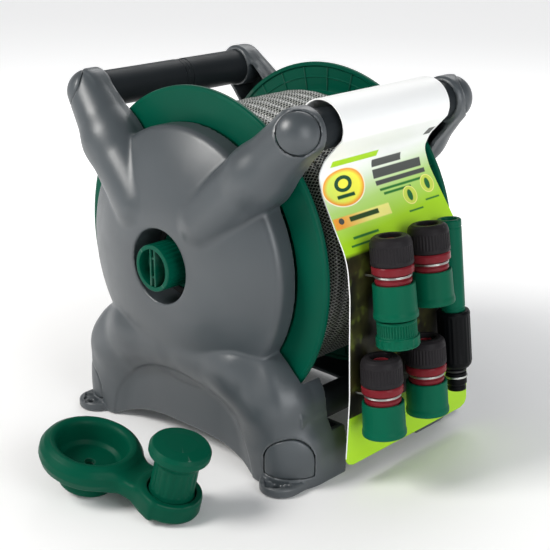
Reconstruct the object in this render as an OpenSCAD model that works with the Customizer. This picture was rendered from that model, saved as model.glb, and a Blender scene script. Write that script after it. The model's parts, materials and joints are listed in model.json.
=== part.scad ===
/* [Reel] */
// Height of the reel axle above the floor
axle_z = 163; // [162:0.5:165]
// Radius of the two drum flanges
flange_r = 137; // [134:0.5:138]
// Radius of the drum core that the hose is wound on
core_r = 50.5; // [48:0.5:52]
// Half of the width between the two flanges
drum_half = 62; // [61:0.5:62]
// Radius of the flange journals that turn in the bushes
journal_r = 25; // [24:0.5:26]
// Radius of the boss that the crank plugs onto
boss_r = 19; // [18:0.5:19]

/* [Hose] */
// Outside diameter of the hose
hose_d = 14.5; // [14:0.1:14.8]
// Layers of hose on the drum
hose_layers = 5; // [3:1:5]
// Rise from one layer of hose to the next
layer_rise = 12.7; // [12.5:0.1:12.7]

/* [Side frames] */
// Radius of the round dish in each side frame
dish_r = 108.8; // [106:0.2:110]
// Distance from the middle plane to the rim of the dish
dish_edge = 99.8; // [99:0.2:101]
// Distance from the middle plane to the rim of the axle hole
dish_top = 124; // [120:1:125]
// Wall thickness of the mouldings
wall = 3; // [2.5:0.1:3.5]
// Radius of the axle hole
hub_hole_r = 30.5; // [30:0.5:31]
// Distance from the middle to the outer face of a foot, along X
foot_x = 129.5; // [128:0.5:131]
// Distance from the middle plane to the outer face of a foot
foot_y = 103; // [102:0.5:104]
// Height of the arch between the feet
arch_h = 16; // [12:1:18]

/* [Handles] */
// Distance from the middle to each handle, along X
handle_x = 118; // [116:0.5:119]
// Height of the handles
handle_z = 282.5; // [280:0.5:284]
// Radius of the handle tubes
handle_r = 15.5; // [15:0.1:16]
// Radius of the elbow that holds a handle
elbow_r = 20; // [19.5:0.1:20.5]
// Radius of the lower cross beams
beam_r = 12.5; // [11:0.5:12.5]

/* [Fixing holes] */
// Spacing of the screw holes along X
hole_dx = 230; // [228:1:232]
// Spacing of the screw holes along Y
hole_dy = 220; // [218:1:222]
// Radius of the screw holes
hole_r = 3; // [2.5:0.1:3.5]

/* [Crank] */
// Distance between the crank's socket and its grip
crank_throw = 76; // [72:1:80]
// Lean of the crank as it rests on the floor
crank_tilt = 14; // [13:0.5:15]
// Heading of the crank on the floor
crank_turn = 13; // [0:1:25]

/* [Fittings] */
// Overall length of a hose connector
conn_len = 63; // [62:0.5:65]
// Radius of the sliding sleeve of a connector
sleeve_r = 17; // [16.8:0.1:17.2]
// Radius of the standard male quick-connect nipple
nipple_r = 8.5; // [8.5:0.1:8.6]

/* [Hidden] */
$fn = 96;
eps = 0.05;
big = 400;

GREY = "dimgray";
DARK = "#33383b";
GREEN = "#0e5a45";
CRANK_GREEN = "#0a4a3a";
RED = "#8a0a20";

// Radial clearance of a running fit, and of a loose one
run_fit = 0.05;
gap = 0.3;

// Drum
flange_t = 4;
flange_crest = 80;
rim_low = 74.6;
coil_r = core_r + hose_d + (hose_layers - 1) * layer_rise;
journal_end = 97;
bush_from = 90;
bush_to = 98;
screw_circle = 38;

// Side frame
dome_steps = 8;
skirt_to = 86;
collar_t = 3;
leg_from = 70;
leg_to = 92;
leg_r = 32;
apron_to = 99;
apron_half = 86;
horn_r = 31;
leg_steps = 8;
arch_half = 84;
elbow_y = 94;
socket_from = 66;
tube_end = 90;
beam_x = 110;
beam_z = 56;
beam_end = 88;
socket_gap = 0.15;
bore_from = 50;
lug_h = 8;
lug_r = 17;
cap_n = [0.68, 0.68, 0.27];
cap_cut = 13;

// Pan-head screws
screw_r = 2;
screw_head_r = 4;
screw_head_h = 2.5;

// Crank, in its own frame: u runs from the socket to the grip, w points up the grip
crank_at = [-0.5, -205.3];
socket_r = boss_r + 0.2;
barrel_r = 22.3;
ring_r = 40.8;
cup_r = 24.6;
cup_floor = 18;
socket_deep = 14;
ring_top = 37.7;
end_r = 24;
end_low = 19;
end_top = 35;
seat_r = 18.8;
seat_w = 25;
pin_r = 4.95;
grip_top = 77;
crank_rest = barrel_r * sin(crank_tilt);

// Card, as a line in the XZ plane that wraps the front handle
card_t = 1;
card_from = -66;
card_to_top = 62;
card_to_foot = 96;
card_narrow_z = 250;
wrap_r = 21;
card_front = [[137.6, 276.4], [121, 259], [115.5, 246.5], [119.5, 231.5], [130.5, 211.5],
  [142, 191.3], [145.6, 180], [148.2, 158], [148.8, 118], [150, 77], [149, 50.5], [147.4, 16.5]];
card_back_z = 266;

// Fittings on the card: foot of the axis, lean back in degrees
fit_1 = [171, -38, 142, 7.5];
fit_2 = [171, 8.5, 141, 8];
fit_3 = [173, -50, 49.5, 5.5];
fit_4 = [173, 5, 49.5, 5.5];
fit_n = [171.5, 46.5, 55, 6.5];
core_out = 13;
spigot_r = 11.5;
groove_w = 31;
tie_w = 32.8;
tie_r = 14.2;
wire_r = 0.7;
tail = 8;
tail_y = 9;
nut_w = 41;
nozzle_r = 13.5;
jet_r = 9.8;

// Helpers
function lerp(a, b, t) = a + (b - a) * t;
function unit(v) = v / norm(v);
function arc(c, r, a0, a1, n) =
  [for (i = [0:n]) c + r * [cos(lerp(a0, a1, i / n)), sin(lerp(a0, a1, i / n))]];
function reversed(p) = [for (i = [len(p) - 1:-1:0]) p[i]];
function bezier(a, b, c, n) =
  [for (i = [0:n]) let (t = i / n) (1 - t) * (1 - t) * a + 2 * t * (1 - t) * b + t * t * c];

// Turn +Z to the axle direction, outwards on the +Y side
module on_axle() translate([0, 0, axle_z]) rotate([-90, 0, 0]) children();

// Solid of revolution about the axle from points [radius, distance along Y]
module axle_turned(points) on_axle() rotate_extrude() polygon(points);

// Plain rod along Y on the +Y side
module y_rod(x, z, r, from, to) translate([x, from, z]) rotate([-90, 0, 0]) cylinder(r = r, h = to - from);

// Tapered rod from a to b
module rod(a, b, ra, rb) {
  d = b - a;
  translate(a) rotate([0, acos(d[2] / norm(d)), atan2(d[1], d[0])])
    cylinder(r1 = ra, r2 = rb, h = norm(d));
}

module left() mirror([0, 1, 0]) children();
module rear() mirror([1, 0, 0]) children();
module both_ends() {
  children();
  rear() children();
}

// ---------------------------------------------------------------- side frame
function dome_at(r) = dish_top - (dish_top - dish_edge)
  * pow((r - hub_hole_r) / (dish_r - hub_hole_r), 2);
function dome_line(drop) = [for (i = [0:dome_steps])
  let (r = lerp(hub_hole_r, dish_r - 3, i / dome_steps)) [r, dome_at(r) - drop]];

module dish() {
  axle_turned(concat(
    dome_line(0),
    [[dish_r, dish_edge - 2], [dish_r, skirt_to], [dish_r - wall, skirt_to],
     [dish_r - wall, dish_edge - 5]],
    reversed([for (p = dome_line(wall)) if (p[0] > hub_hole_r + collar_t + 1 && p[0] < dish_r - 6) p]),
    [[hub_hole_r + collar_t, dish_top - wall - 1], [hub_hole_r + collar_t, bush_from - 2],
     [hub_hole_r, bush_from - 2]]));
}

// Round horn from the dish up to the elbow round a handle
horn_foot = [35, 90, 212];
elbow = [handle_x, elbow_y, handle_z];
module horn_outside() {
  rod(horn_foot, elbow, horn_r, elbow_r);
  translate(elbow) sphere(r = elbow_r);
  y_rod(handle_x, handle_z, elbow_r, 80, elbow_y);
}

// Hollow of a horn or a leg from a to b, open towards the reel
module hollow(a, b, ra, rb) hull() for (shift = [0, -45]) {
  translate(a + [0, shift, 0]) sphere(r = ra - wall, $fn = 24);
  translate(b + [0, shift, 0]) sphere(r = rb - wall, $fn = 24);
}
module horn_inside() hollow(lerp(horn_foot, elbow, 0.02), lerp(horn_foot, elbow, 0.7), horn_r, 23);

// Round leg from the dish down to a foot
leg_top = [34, 80, 122];
leg_foot = [foot_x - leg_r, foot_y - leg_r, 10];
module leg_outside() rod(leg_top, leg_foot - [0, 0, 12], leg_r, leg_r);
module leg_inside() hollow(leg_top, leg_foot - [0, 0, 12], leg_r, leg_r);

// Outline of the two legs and the low arch, front half; inset pulls it in by the wall
function leg_side(inset) = bezier([96 - inset, 112], [124 - inset, 72], [foot_x - inset, 12], leg_steps);
function arch_line(inset) = [for (i = [leg_steps:-1:0]) let (x = (arch_half + inset) * i / leg_steps)
  [x, inset + arch_h * (1 - pow(x / (arch_half + inset), 3))]];
function lower_half(inset) = concat(leg_side(inset), [[foot_x - inset, -inset]],
  [for (p = arch_line(inset)) inset > 0 && p[1] < inset + 0.5 ? [p[0], -inset] : p]);
function lower_outline(inset) = concat(lower_half(inset),
  reversed([for (p = lower_half(inset)) if (p[0] > eps) [-p[0], p[1]]]));

module lower_slab(inset, from, to) translate([0, to, 0]) rotate([90, 0, 0])
  linear_extrude(to - from) polygon(lower_outline(inset));

// Flat-fronted feet, and the apron that joins them above the arch
module feet() difference() {
  union() {
    lower_slab(0, leg_from, leg_to);
    intersection() {
      lower_slab(0, leg_from, apron_to);
      translate([-apron_half, 0, 0]) cube([2 * apron_half, big, big]);
    }
  }
  lower_slab(wall, leg_from - 1, leg_to - wall);
  intersection() {
    lower_slab(wall, leg_from, apron_to - wall);
    translate([wall - apron_half, 0, -1]) cube([2 * (apron_half - wall), big, big]);
  }
  on_axle() cylinder(r = dish_r - wall - 1, h = leg_to + wall);
}

// Socket tubes inside the mouldings for the handles and the beams
module sockets() both_ends() {
  y_rod(handle_x, handle_z, handle_r + 2.2, socket_from, elbow_y + 2);
  y_rod(beam_x, beam_z, beam_r + 2.5, leg_from + 2, leg_to);
}

module lugs() both_ends() {
  translate([hole_dx / 2 - 2, foot_y, 0]) cylinder(r = lug_r, h = lug_h);
  translate([hole_dx / 2 - 2 - lug_r, foot_y - 18, 0]) cube([2 * lug_r - 0.5, 18, lug_h]);
}

module cap_axis() translate(elbow)
  rotate([0, acos(cap_n[2] / norm(cap_n)), atan2(cap_n[1], cap_n[0])]) children();

// D-shaped prism through a foot, along the diagonal that its cover faces
module foot_pocket(grow) translate(leg_foot) rotate([0, 0, -45]) rotate([90, 0, 180])
  linear_extrude(big) {
    translate([-17 - grow, 2 - grow]) square([34 + 2 * grow, 14 + grow]);
    translate([0, 16]) circle(r = 17 + grow);
  }

module side_frame() color(GREY) difference() {
  union() {
    difference() {
      union() {
        dish();
        feet();
        both_ends() {
          horn_outside();
          leg_outside();
        }
      }
      both_ends() {
        horn_inside();
        leg_inside();
      }
    }
    lugs();
    sockets();
  }
  translate([-big, 0, -big]) cube([2 * big, big, big]);
  // room for the flange, the axle hole and the inside of the bush collar
  on_axle() cylinder(r = flange_r + 2.5, h = 82.5);
  on_axle() cylinder(r = hub_hole_r, h = big);
  on_axle() translate([0, 0, 50]) cylinder(r = 57, h = 38);
  both_ends() {
    y_rod(handle_x, handle_z, handle_r, socket_from - 1, tube_end);
    y_rod(beam_x, beam_z, beam_r + socket_gap, bore_from, beam_end);
    cap_axis() translate([0, 0, cap_cut]) cylinder(r = elbow_r + 4, h = elbow_r);
    cap_axis() translate([0, 0, -10]) cylinder(r = screw_r, h = 30);
    translate([hole_dx / 2, hole_dy / 2, -1]) cylinder(r = hole_r, h = lug_h + 2);
    translate([hole_dx / 2, hole_dy / 2, lug_h - 3]) cylinder(r = 6.5, h = lug_h);
    difference() {
      foot_pocket(0.2);
      rod(leg_foot - [0, 0, 40], leg_foot + [0, 0, 60], leg_r - 2, leg_r - 2);
    }
  }
}
module side_frame_left() left() side_frame();
module side_frame_right() side_frame();

// Covers over the handle screws: a slice of the elbow's ball
module horn_cap() color(GREY) difference() {
  intersection() {
    translate(elbow) sphere(r = elbow_r);
    cap_axis() translate([0, 0, cap_cut]) cylinder(r = elbow_r, h = elbow_r);
  }
  cap_axis() translate([0, 0, cap_cut - 1]) cylinder(r = screw_head_r + 1, h = 4);
}
module horn_cap_front_left() left() horn_cap();
module horn_cap_rear_left() left() rear() horn_cap();
module horn_cap_front_right() horn_cap();
module horn_cap_rear_right() rear() horn_cap();

// Curved covers let into the outer corners of the feet
module foot_cap() color(GREY) intersection() {
  foot_pocket(0);
  difference() {
    rod(leg_foot - [0, 0, 20], leg_foot + [0, 0, 60], leg_r, leg_r);
    rod(leg_foot - [0, 0, 21], leg_foot + [0, 0, 61], leg_r - 2, leg_r - 2);
  }
}
module foot_cap_front_left() left() foot_cap();
module foot_cap_rear_left() left() rear() foot_cap();
module foot_cap_front_right() foot_cap();
module foot_cap_rear_right() rear() foot_cap();

module handle_screws() color("silver") for (y = [0, 1], x = [0, 1])
  mirror([0, y, 0]) mirror([x, 0, 0]) cap_axis() {
    translate([0, 0, cap_cut]) cylinder(r = screw_head_r, h = screw_head_h);
    translate([0, 0, -7]) cylinder(r = screw_r, h = cap_cut + 7);
  }

// ---------------------------------------------------------------- handles, beams
// The left tube ends in a spigot that plugs into the right tube
handle_joint = 10;
module tube_left(x) color(DARK) difference() {
  union() {
    left() y_rod(x, handle_z, handle_r, -handle_joint, tube_end);
    y_rod(x, handle_z, handle_r - wall - gap, handle_joint - 1, handle_joint + 24);
  }
  left() y_rod(x, handle_z, handle_r - 2 * wall, -handle_joint - 30, tube_end - 9);
  left() handle_screw_hole(x);
}
module tube_right(x) color(DARK) difference() {
  y_rod(x, handle_z, handle_r, handle_joint, tube_end);
  y_rod(x, handle_z, handle_r - wall, handle_joint - 1, tube_end - 9);
  handle_screw_hole(x);
}
module handle_screw_hole(x) mirror([x < 0 ? 1 : 0, 0, 0]) cap_axis()
  translate([0, 0, -8]) cylinder(r = screw_r, h = 30);
module rear_handle_left() tube_left(-handle_x);
module rear_handle_right() tube_right(-handle_x);
module front_handle_left() tube_left(handle_x);
module front_handle_right() tube_right(handle_x);

module beam(x) color(DARK) difference() {
  y_rod(x, beam_z, beam_r, -beam_end, beam_end);
  y_rod(x, beam_z, beam_r - wall, -beam_end - 1, beam_end + 1);
}
module rear_beam() beam(-beam_x);
module front_beam() beam(beam_x);

// ---------------------------------------------------------------- axle and inlet
module hub_bush() color("ivory") axle_turned([[journal_r + run_fit, bush_from],
  [hub_hole_r, bush_from], [hub_hole_r, bush_to], [journal_r + run_fit, bush_to]]);
module hub_bush_left() left() hub_bush();
module hub_bush_right() hub_bush();

// Disc in the right axle hole that keeps the inlet from turning
inlet_tube_r = 10;
module inlet_carrier() color(CRANK_GREEN) axle_turned([[inlet_tube_r, 106], [hub_hole_r, 106],
  [hub_hole_r, 118], [hub_hole_r - 2.5, 118], [hub_hole_r - 2.5, 110], [inlet_tube_r, 110]]);

module inlet_nipple() color("#16181b") difference() {
  axle_turned([[5, 60], [inlet_tube_r, 60], [inlet_tube_r, 110], [14, 110], [14, 114],
    [nipple_r, 114], [nipple_r, 127], [7, 127], [7, 129], [nipple_r - 1, 129],
    [nipple_r - 1, 131], [5, 131]]);
}

// O-rings between the still inlet tube and the turning sleeve
module inlet_seals() color("black") for (y = [68, 78])
  on_axle() translate([0, 0, y]) rotate_extrude()
    translate([inlet_tube_r + 1, 0]) circle(r = 1, $fn = 24);

// ---------------------------------------------------------------- drum
module flange() color(GREEN) difference() {
  axle_turned([[boss_r, drum_half], [107, drum_half], [110, 72.5], [113, 76.2], [flange_r - 3, 76.2],
    [flange_r - 2.4, rim_low], [flange_r, rim_low], [flange_r, 77.6], [flange_r - 0.8, 79.2],
    [flange_r - 2.8, flange_crest], [108, 79.5], [104.5, 77], [102, drum_half + flange_t],
    [journal_r, drum_half + flange_t], [journal_r, journal_end],
    [boss_r, journal_end]]);
  for (i = [0:3]) on_axle() rotate(45 + 90 * i) translate([screw_circle, 0, 50]) cylinder(r = 2.2, h = 30);
}
module flange_left() left() flange();
module flange_right() flange();

// Each half of the core has four posts that the drum screws cut into
module core_half() {
  axle_turned([[core_r - wall, 0], [core_r, 0], [core_r, drum_half], [core_r - wall, drum_half]]);
  for (i = [0:3]) on_axle() rotate(45 + 90 * i) translate([screw_circle, 0, 20]) difference() {
    cylinder(r = 5.5, h = drum_half - 20);
    translate([0, 0, 4]) cylinder(r = screw_r, h = drum_half);
  }
  for (i = [0:3]) on_axle() rotate(45 + 90 * i) translate([screw_circle + 4, -1.25, 20])
    cube([core_r - wall - screw_circle - 3, 2.5, drum_half - 20]);
}
outlet_y = 50;
elbow_tube_r = 7;
spout_r = 6.5;
water_r = 4.5;
tie_at = -35;
module drum_core_left() color("#16181b") left() core_half();
module drum_core_right() color("#16181b") difference() {
  core_half();
  translate([0, outlet_y, axle_z]) rotate([0, 90, 0]) cylinder(r = spout_r, h = big);
}

module drum_screws() color("silver") for (side = [0, 1], i = [0:3])
  mirror([0, side, 0]) on_axle() rotate(45 + 90 * i) translate([screw_circle, 0, 0]) {
    translate([0, 0, drum_half + flange_t]) cylinder(r = screw_head_r, h = screw_head_h);
    translate([0, 0, drum_half - 20]) cylinder(r = screw_r, h = 20 + flange_t);
  }

// Splined boss, recessed at its face, with a pair of ribs and two cross bars
boss_face = 131;
module crank_boss() color(GREEN) left() union() {
  axle_turned([[0, 64], [boss_r, 64], [boss_r, boss_face], [boss_r - 3.5, boss_face],
    [boss_r - 3.5, boss_face - 10], [0, boss_face - 10]]);
  intersection() {
    on_axle() translate([0, 0, boss_face - 11]) cylinder(r = boss_r - 2, h = 10);
    translate([0, 0, axle_z]) {
      for (x = [-3.2, 1.6]) translate([x, 0, -big / 2]) cube([1.6, big, big]);
      for (z = [-8.5, 7]) translate([-2, 0, z]) cube([4, big, 1.6]);
    }
  }
}

// Water path that turns with the drum: sleeve round the inlet, then an elbow to the core wall
module swivel_sleeve() color("ivory") axle_turned([[elbow_tube_r + 0.1, 57], [14, 57], [14, 64],
  [boss_r, 64], [boss_r, 88], [inlet_tube_r + 2 + run_fit, 88], [inlet_tube_r + 2 + run_fit, 59.5],
  [elbow_tube_r + 0.1, 59.5]]);

module outlet_elbow() color("#16181b") difference() {
  union() {
    on_axle() translate([0, 0, 42]) cylinder(r = elbow_tube_r, h = 17.4);
    on_axle() translate([0, 0, 44]) cylinder(r = elbow_tube_r + 3, h = 13);
    translate([0, outlet_y, axle_z]) rotate([0, 90, 0]) cylinder(r = spout_r, h = core_r - 0.2);
  }
  on_axle() translate([0, 0, 46]) cylinder(r = water_r, h = 20);
  translate([0, outlet_y, axle_z]) rotate([0, 90, 0]) cylinder(r = water_r, h = core_r + 1);
}

module hose_coil() color("gray") axle_turned([[core_r + gap, gap - drum_half], [coil_r, gap - drum_half],
  [coil_r, drum_half - gap], [core_r + gap, drum_half - gap]]);

// Strap that holds the last turn of hose down on the winding
module hose_tie() color("#16181b") intersection() {
  axle_turned([[coil_r + gap, -44], [coil_r + gap + 1.4, -44], [coil_r + gap + 1.4, -12], [coil_r + gap, -12]]);
  translate([0, 0, axle_z]) rotate([0, tie_at, 0]) translate([-3, -big / 2, 0]) cube([6, big, big]);
}

// ---------------------------------------------------------------- crank
module crank_frame() translate([crank_at[0], crank_at[1], crank_rest])
  rotate([0, 0, crank_turn]) rotate([0, crank_tilt, 0]) children();

module crank_arm() color(CRANK_GREEN) crank_frame() difference() {
  union() {
    rotate_extrude() polygon([[0, 0], [barrel_r - 1, 0], [barrel_r, 1], [barrel_r, 14], [34, 14],
      [39, 17], [ring_r, 23], [ring_r - 1, 30], [36, 35], [31, ring_top], [0, ring_top]]);
    translate([crank_throw, 0, 0]) rotate_extrude() polygon([[0, end_low], [end_r - 3, end_low],
      [end_r, end_low + 3], [end_r, end_top - 3], [end_r - 3, end_top], [0, end_top]]);
    hull() {
      translate([14, 0, 16]) cylinder(r = 36 * 0.8, h = 18, $fn = 32);
      translate([crank_throw - 8, 0, end_low + 1]) cylinder(r = end_r * 0.8, h = 12, $fn = 32);
    }
  }
  translate([0, 0, cup_floor]) cylinder(r = cup_r, h = big);
  translate([0, 0, -1]) cylinder(r = socket_r, h = socket_deep + 1);
  translate([0, 0, 5]) cylinder(r = 4, h = big);
  translate([crank_throw, 0, seat_w]) cylinder(r = seat_r, h = big);
  translate([crank_throw, 0, end_low - 1]) cylinder(r = pin_r, h = 10);
}

module crank_grip() color(CRANK_GREEN) crank_frame() translate([crank_throw, 0, 0]) difference() {
  rotate_extrude() polygon([[0, seat_w + gap], [18, seat_w + gap], [17, 61], [20, 64.5], [23.5, 68],
    [23.5, 73], [21.5, 76], [12, grip_top], [0, grip_top]]);
  translate([0, 0, seat_w]) cylinder(r = pin_r + run_fit, h = 36);
  translate([0, 0, 60]) cylinder(r = 7.5, h = 6);
}

module grip_pin() color("silver") crank_frame() translate([crank_throw, 0, 0]) {
  translate([0, 0, end_low]) cylinder(r = pin_r, h = 41.5);
  translate([0, 0, 61]) cylinder(r = 7, h = 3);
  translate([0, 0, 60]) cylinder(r = pin_r, h = 2);
}

// ---------------------------------------------------------------- card
card_mid = concat([[handle_x - wrap_r, card_back_z]],
  arc([handle_x, handle_z], wrap_r, 180, 0, 12), card_front);
function card_dir(i) = unit(card_mid[min(i + 1, len(card_mid) - 1)] - card_mid[max(i - 1, 0)]);
function card_off(i, d) = card_mid[i] + d * [-card_dir(i)[1], card_dir(i)[0]];
module display_card() color("#8fc62e") difference() {
  intersection() {
    translate([0, card_to_foot, 0]) rotate([90, 0, 0]) linear_extrude(card_to_foot - card_from) polygon(concat(
      [for (i = [0:len(card_mid) - 1]) card_off(i, card_t)],
      [for (i = [len(card_mid) - 1:-1:0]) card_off(i, 0)]));
    rotate([90, 0, 90]) linear_extrude(big) polygon([[card_from, 0], [card_to_foot, 0], [card_to_foot, 16],
      [card_to_top, card_narrow_z], [card_to_top, big], [card_from, big]]);
  }
  for (f = [fit_1, fit_2, fit_3, fit_4]) tie_tails(f, wire_r + 0.2, 30, 20);
}

// ---------------------------------------------------------------- hose fittings
module at_fit(f) translate([f[0], f[1], f[2]]) rotate([0, -f[3], 0]) children();

module connector_nut(f) color("#474542") at_fit(f) rotate_extrude() polygon([
  [spigot_r + run_fit, nut_w + 0.4], [16.5, nut_w + 0.4], [16, 57], [15.2, 60.5], [13, conn_len - 0.6],
  [12, conn_len], [8.5, conn_len], [8.5, 58], [spigot_r + run_fit, 58]]);
module connector_core(f) color(RED) at_fit(f) rotate_extrude() polygon([
  [8.7, 3], [core_out, 3], [core_out, 25.2], [14, 27.4], [14, groove_w - 0.6], [13.3, groove_w],
  [13.3, groove_w + 3.6], [16.2, groove_w + 3.6], [16.2, nut_w], [spigot_r, nut_w], [spigot_r, 54],
  [7.5, 54], [7.5, 44], [6.3, 44], [6.3, 60], [4.8, 60], [4.8, 24], [8.7, 24]]);
module connector_sleeve(f) color("#0f7a5a") at_fit(f) rotate_extrude() polygon([
  [core_out + run_fit, 2], [14, 0], [sleeve_r + 0.3, 0], [sleeve_r + 0.3, 4], [sleeve_r - 0.6, 26],
  [sleeve_r - 1, 27], [14.3, 27], [14.3, 22.6], [core_out + run_fit, 22]]);

module connector_1_nut() connector_nut(fit_1);
module connector_1_core() connector_core(fit_1);
module connector_1_sleeve() connector_sleeve(fit_1);
module connector_2_nut() connector_nut(fit_2);
module connector_2_core() connector_core(fit_2);
module connector_2_sleeve() connector_sleeve(fit_2);
module connector_3_nut() connector_nut(fit_3);
module connector_3_core() connector_core(fit_3);
module connector_3_sleeve() connector_sleeve(fit_3);
module connector_4_nut() connector_nut(fit_4);
module connector_4_core() connector_core(fit_4);
module connector_4_sleeve() connector_sleeve(fit_4);

// One sealing ring at the top of each connector's socket
module connector_seals() color("black") for (f = [fit_1, fit_2, fit_3, fit_4])
  at_fit(f) translate([0, 0, 22]) rotate_extrude() translate([7.6, 0]) circle(r = 1, $fn = 24);

// Tap adaptor, plugged into the socket of the first connector: a nipple held by its flange in a collar
module tap_nipple() color("#0f5a48") at_fit(fit_1) rotate_extrude() polygon([
  [5.5, 16], [nipple_r - 1, 16], [nipple_r, 15], [nipple_r, 3], [nipple_r - 1.5, 3], [nipple_r - 1.5, 1],
  [nipple_r, 1], [nipple_r, -5.8], [11.8, -5.8], [11.8, -8], [5.5, -8]]);
module tap_collar() color("#0f5a48") at_fit(fit_1) rotate_extrude() polygon([
  [nipple_r + gap, -1.5], [15, -1.5], [15.5, -3], [15.5, -13.5], [16.8, -14], [16.8, -21.5],
  [16, -22.5], [12.1, -22.5], [12.1, -5.8], [nipple_r + gap, -5.8]]);
module tap_washer() color("black") at_fit(fit_1) rotate_extrude() polygon([
  [6.5, -10.2], [12, -10.2], [12, -8.1], [6.5, -8.1]]);

// Twist nozzle, hung with its spray end up
module nozzle_body() color("#16181b") at_fit(fit_n) rotate_extrude() polygon([
  [5, 0], [nipple_r - 1, 0], [nipple_r - 1, 3], [7, 3], [7, 5], [nipple_r, 5], [nipple_r, 15],
  [6.6, 15], [6.6, 18.5], [11, 20], [nozzle_r, 24], [nozzle_r, 66], [12.5, 68],
  [jet_r + run_fit, 68], [jet_r + run_fit, 34], [5, 34]]);
module nozzle_tip() color("#00604a") at_fit(fit_n) rotate_extrude() polygon([
  [6.5, 36], [jet_r, 36], [jet_r, 142.5], [jet_r - 1, 143.5], [6, 143.5], [4.5, 138], [6.5, 132]]);
module nozzle_stem() color("ivory") at_fit(fit_n) rotate_extrude() polygon([
  [0, 30], [5, 30], [5, 40], [3, 44], [3, 128], [1, 134], [0, 134]]);
module nozzle_seal() color("black") at_fit(fit_n) translate([0, 0, 16.9]) rotate_extrude()
  translate([7.6, 0]) circle(r = 0.95, $fn = 24);

// Wire tie in the groove of a connector, with two tails that pass through the card
module tie_tails(f, r, reach, length) at_fit(f) for (y = [-tail_y, tail_y])
  translate([-reach, y, tie_w]) rotate([0, 90, 0]) cylinder(r = r, h = length, $fn = 16);
module tie(f) {
  at_fit(f) translate([0, 0, tie_w]) rotate_extrude() translate([tie_r, 0]) circle(r = wire_r, $fn = 16);
  tie_tails(f, wire_r - 0.1, tie_r + tail, tail + 3.7);
}
module card_ties() color("silver") for (f = [fit_1, fit_2, fit_3, fit_4]) tie(f);

// ---------------------------------------------------------------- the model
side_frame_left();
side_frame_right();
rear_handle_left();
rear_handle_right();
front_handle_left();
front_handle_right();
rear_beam();
front_beam();
horn_cap_front_left();
horn_cap_rear_left();
horn_cap_front_right();
horn_cap_rear_right();
foot_cap_front_left();
foot_cap_rear_left();
foot_cap_front_right();
foot_cap_rear_right();
handle_screws();
hub_bush_left();
hub_bush_right();
inlet_nipple();
inlet_carrier();
inlet_seals();
flange_left();
flange_right();
drum_core_left();
drum_core_right();
drum_screws();
crank_boss();
swivel_sleeve();
outlet_elbow();
hose_coil();
hose_tie();
crank_arm();
crank_grip();
grip_pin();
display_card();
connector_1_nut();
connector_1_core();
connector_1_sleeve();
connector_2_nut();
connector_2_core();
connector_2_sleeve();
connector_3_nut();
connector_3_core();
connector_3_sleeve();
connector_4_nut();
connector_4_core();
connector_4_sleeve();
connector_seals();
tap_nipple();
tap_collar();
tap_washer();
nozzle_tip();
nozzle_body();
nozzle_stem();
nozzle_seal();
card_ties();
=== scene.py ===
"""Looks and fine detail of a garden hose reel cart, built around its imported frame.

Shapes are worked out in millimetres, in the frame's own axes, and scaled to metres when a mesh is made.
On a side frame, "out" is the distance from the middle plane, so one shape serves both sides.
"""
import json
import math

import bpy
import numpy as np
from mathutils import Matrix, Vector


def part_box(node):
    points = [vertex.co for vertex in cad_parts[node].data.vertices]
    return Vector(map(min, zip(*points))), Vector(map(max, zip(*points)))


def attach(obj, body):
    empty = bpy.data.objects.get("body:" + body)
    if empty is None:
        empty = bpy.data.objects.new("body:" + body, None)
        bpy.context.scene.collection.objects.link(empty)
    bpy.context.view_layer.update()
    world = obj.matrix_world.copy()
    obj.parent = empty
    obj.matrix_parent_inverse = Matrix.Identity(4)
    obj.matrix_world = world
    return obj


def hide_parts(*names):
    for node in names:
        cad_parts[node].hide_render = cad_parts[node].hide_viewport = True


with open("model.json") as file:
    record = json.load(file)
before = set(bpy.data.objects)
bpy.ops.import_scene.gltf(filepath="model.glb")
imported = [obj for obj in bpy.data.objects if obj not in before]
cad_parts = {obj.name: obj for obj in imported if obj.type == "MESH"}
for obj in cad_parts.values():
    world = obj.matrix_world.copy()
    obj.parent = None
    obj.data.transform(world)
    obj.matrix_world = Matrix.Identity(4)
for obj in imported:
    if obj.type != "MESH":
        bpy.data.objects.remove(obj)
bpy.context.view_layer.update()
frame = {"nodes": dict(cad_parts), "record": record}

import openvdb as vdb
from mathutils import Vector

MM = 0.001
TAU = 2 * math.pi


# ---------- sizes, from the frame
def corners(node):
    """Lowest and highest corners of a CAD node, in millimetres."""
    return [np.array(corner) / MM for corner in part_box(node)]


def middle_of(node, axis):
    low, high = corners(node)
    return (low[axis] + high[axis]) / 2


def half_of(node, axis):
    low, high = corners(node)
    return (high[axis] - low[axis]) / 2


X, Y, Z = 0, 1, 2
AXLE_Z = middle_of("flange_right", Z)
FLANGE_R = half_of("flange_right", Z)
DRUM_HALF = corners("flange_right")[0][Y]
CORE_R = half_of("drum_core_right", Z)
COIL_R = half_of("hose_coil", Z)
HANDLE_X = middle_of("front_handle_right", X)
HANDLE_Z = middle_of("front_handle_right", Z)
HANDLE_R = half_of("front_handle_right", Z)
TUBE_JOINT, TUBE_END = (corner[Y] for corner in corners("front_handle_right"))
BEAM_X = middle_of("front_beam", X)
BEAM_Z = middle_of("front_beam", Z)
BEAM_R = half_of("front_beam", Z)
BOSS_R = half_of("crank_boss", Z)
BOSS_FACE = -corners("crank_boss")[0][Y]
HUB_HOLE_R = half_of("hub_bush_right", Z)
SIDES = ((1, "right"), (-1, "left"))
ENDS = ((1, "front"), (-1, "rear"))


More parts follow.
